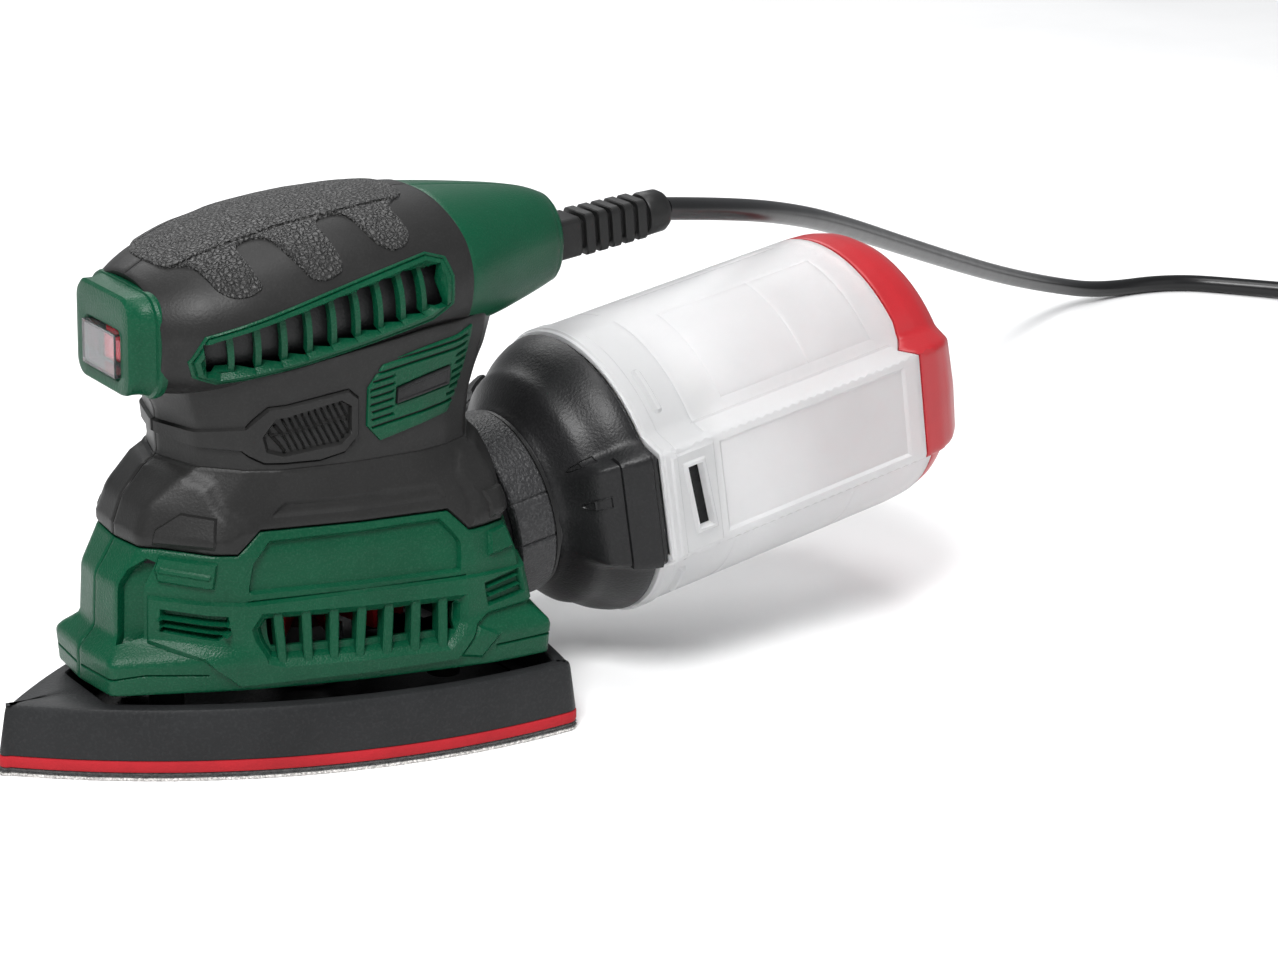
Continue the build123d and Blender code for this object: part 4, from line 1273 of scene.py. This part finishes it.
def build_cord():
    exit_dir = np.array((-sin(EXIT_ANGLE), cos(EXIT_ANGLE), 0))
    exit_point = COIL_CENTRE * np.array((1, 1, 0)) + \
        np.array((cos(EXIT_ANGLE), sin(EXIT_ANGLE), 0)) * COIL_OUTER_R
    back = exit_point + exit_dir * TAIL_LENGTH + np.array((0, 0, PLUG_Z))
    tail = [tuple(exit_point + exit_dir * LEAD_IN + np.array((0, 0, COIL_TOP - CORD_R))), tuple(back)]
    lead_in = tuple(ENTRY - np.array((cos(HEADING), sin(HEADING), 0)) * LEAD_IN)
    points = ROUTE + [lead_in] + coil_points() + tail
    curve = bpy.data.curves.new("mains_lead", "CURVE")
    curve.dimensions = "3D"
    spline = curve.splines.new("NURBS")
    spline.points.add(len(points) - 1)
    for target, p in zip(spline.points, points):
        target.co = (p[0] * MM, p[1] * MM, p[2] * MM, 1.0)
    spline.order_u = 3
    spline.use_endpoint_u = True
    curve.bevel_depth = CORD_R * MM
    curve.bevel_resolution = 6
    curve.resolution_u = 8
    curve.use_fill_caps = True
    curve.materials.append(CORD)
    lead = bpy.data.objects.new("mains_lead", curve)
    bpy.context.scene.collection.objects.link(lead)
    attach(lead, "machine")
    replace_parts(lead, "cord_lead", "cord_coil", "cord_tail")
    return lead, back, exit_dir


def build_plug(back, heading):
    side = np.array((-heading[1], heading[0], 0))
    # distance from the cord end, width, height, corner radius
    sections = [(0, 8.4, 7.6, 3.6), (1.0, 9.4, 8.6, 3.8)]
    for i in range(3):
        t = 2.2 + 2.6 * i
        sections += [(t, 9.6 + i, 8.8 + 0.8 * i, 3.8), (t + 0.2, 8.2 + i, 7.6 + 0.8 * i, 3.4),
                     (t + 1.2, 8.2 + i, 7.6 + 0.8 * i, 3.4), (t + 1.4, 9.8 + i, 9.0 + 0.8 * i, 3.8)]
    sections += [(10.4, 14, 12, 4.5), (14, 22, 14.4, 5.5), (20, 27, 15, 6), (34, 27.5, 15, 6),
                 (42, 29, 14.8, 6), (45.2, 29, 14.4, 5.5), (46, 27.5, 13, 5)]
    loops = [along(back, heading, t, side, rounded_rect(w, h, min(r, h / 2 - 0.1)))
             for t, w, h, r in sections]
    plug = loft("plug_shell", loops, RUBBER, "machine")
    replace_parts(plug, "plug_body")
    pins = []
    for name, offset in (("plug_pin_1", 9.25), ("plug_pin_2", -9.25)):
        pin_loops = []
        for t, r in ((45.5, 2.3), (54.0, 2.0), (55, 2.0), (63.4, 2.0), (64.6, 1.5), (65, 0.7)):
            circle = [(offset + r * cos(2 * pi * k / 24), r * sin(2 * pi * k / 24)) for k in range(24)]
            pin_loops.append(along(back, heading, t, side, circle))
        pin = loft(name, pin_loops, NICKEL, "machine")
        pins.append(pin)
    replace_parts(pins[0], "plug_pins")
    return [plug] + pins


def build_tie():
    angle = radians(60.0)
    radial = np.array((cos(angle), sin(angle), 0))
    tangent = np.array((-sin(angle), cos(angle), 0))
    centre = COIL_CENTRE * np.array((1, 1, 0)) + radial * COIL_MID_R
    middle = (COIL_TOP + COIL_BASE) / 2
    loops = []
    for t, grow in ((-6, 0.5), (-5.6, 0.9), (5.6, 0.9), (6, 0.5), (5.6, 0.05), (-5.6, 0.05)):
        loop = []
        for a, b in rounded_rect(3 * PITCH + 2 * grow, 2 * PITCH + 2 * grow, 3.0, 48):
            p = centre + tangent * t + radial * a
            loop.append((p[0], p[1], middle + b))
        loops.append(loop)
    tie = loft("cord_strap", loops, STRAP, "machine", closed_path=True)
    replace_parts(tie, "cord_tie")
    return tie


RELIEF = build_relief()
LEAD, PLUG_BACK, PLUG_HEADING = build_cord()
PLUG = build_plug(PLUG_BACK, PLUG_HEADING)
TIE = build_tie()


# ================================================================ stage
LAMPS = (                  # name, place, power in watts, size
    ("key", (-0.75, -0.7, 1.4), 36.0, 0.6), ("fill", (0.9, -1.2, 0.7), 3.0, 1.2),
    ("back", (0.3, 1.2, 1.2), 12.0, 1.0), ("top", (0.1, 0.0, 1.6), 10.0, 0.7),
)
LAMP_TARGET = Vector((0.1, 0, 0.06))
SKY_STRENGTH = 0.34
FLOOR_HALF = 6.0


def build_stage():
    mesh = bpy.data.meshes.new("floor")
    corners = [(x * FLOOR_HALF, y * FLOOR_HALF, 0) for x, y in ((-1, -1), (1, -1), (1, 1), (-1, 1))]
    mesh.from_pydata(corners, [], [(0, 1, 2, 3)])
    floor = bpy.data.objects.new("floor", mesh)
    bpy.context.scene.collection.objects.link(floor)
    material, tree, bsdf = new_material("floor_paint")
    tone = ramp(tree, noise(tree, 8.0).outputs["Fac"], (0.86, 0.86, 0.86), (0.9, 0.9, 0.9))
    link(tree, tone.outputs["Color"], bsdf.inputs["Base Color"])
    put(bsdf, Roughness=0.7)
    mesh.materials.append(material)
    world = bpy.data.worlds.new("studio")
    world.use_nodes = True
    world.node_tree.nodes["Background"].inputs["Color"].default_value = (0.95, 0.97, 1.0, 1.0)
    world.node_tree.nodes["Background"].inputs["Strength"].default_value = SKY_STRENGTH
    bpy.context.scene.world = world
    for name, place, power, size in LAMPS:
        light = bpy.data.lights.new(name, "AREA")
        light.energy = power
        light.size = size
        lamp = bpy.data.objects.new(name, light)
        lamp.location = place
        lamp.rotation_euler = (LAMP_TARGET - Vector(place)).to_track_quat("-Z", "Y").to_euler()
        bpy.context.scene.collection.objects.link(lamp)
    bpy.context.scene.view_settings.view_transform = "Standard"


build_stage()
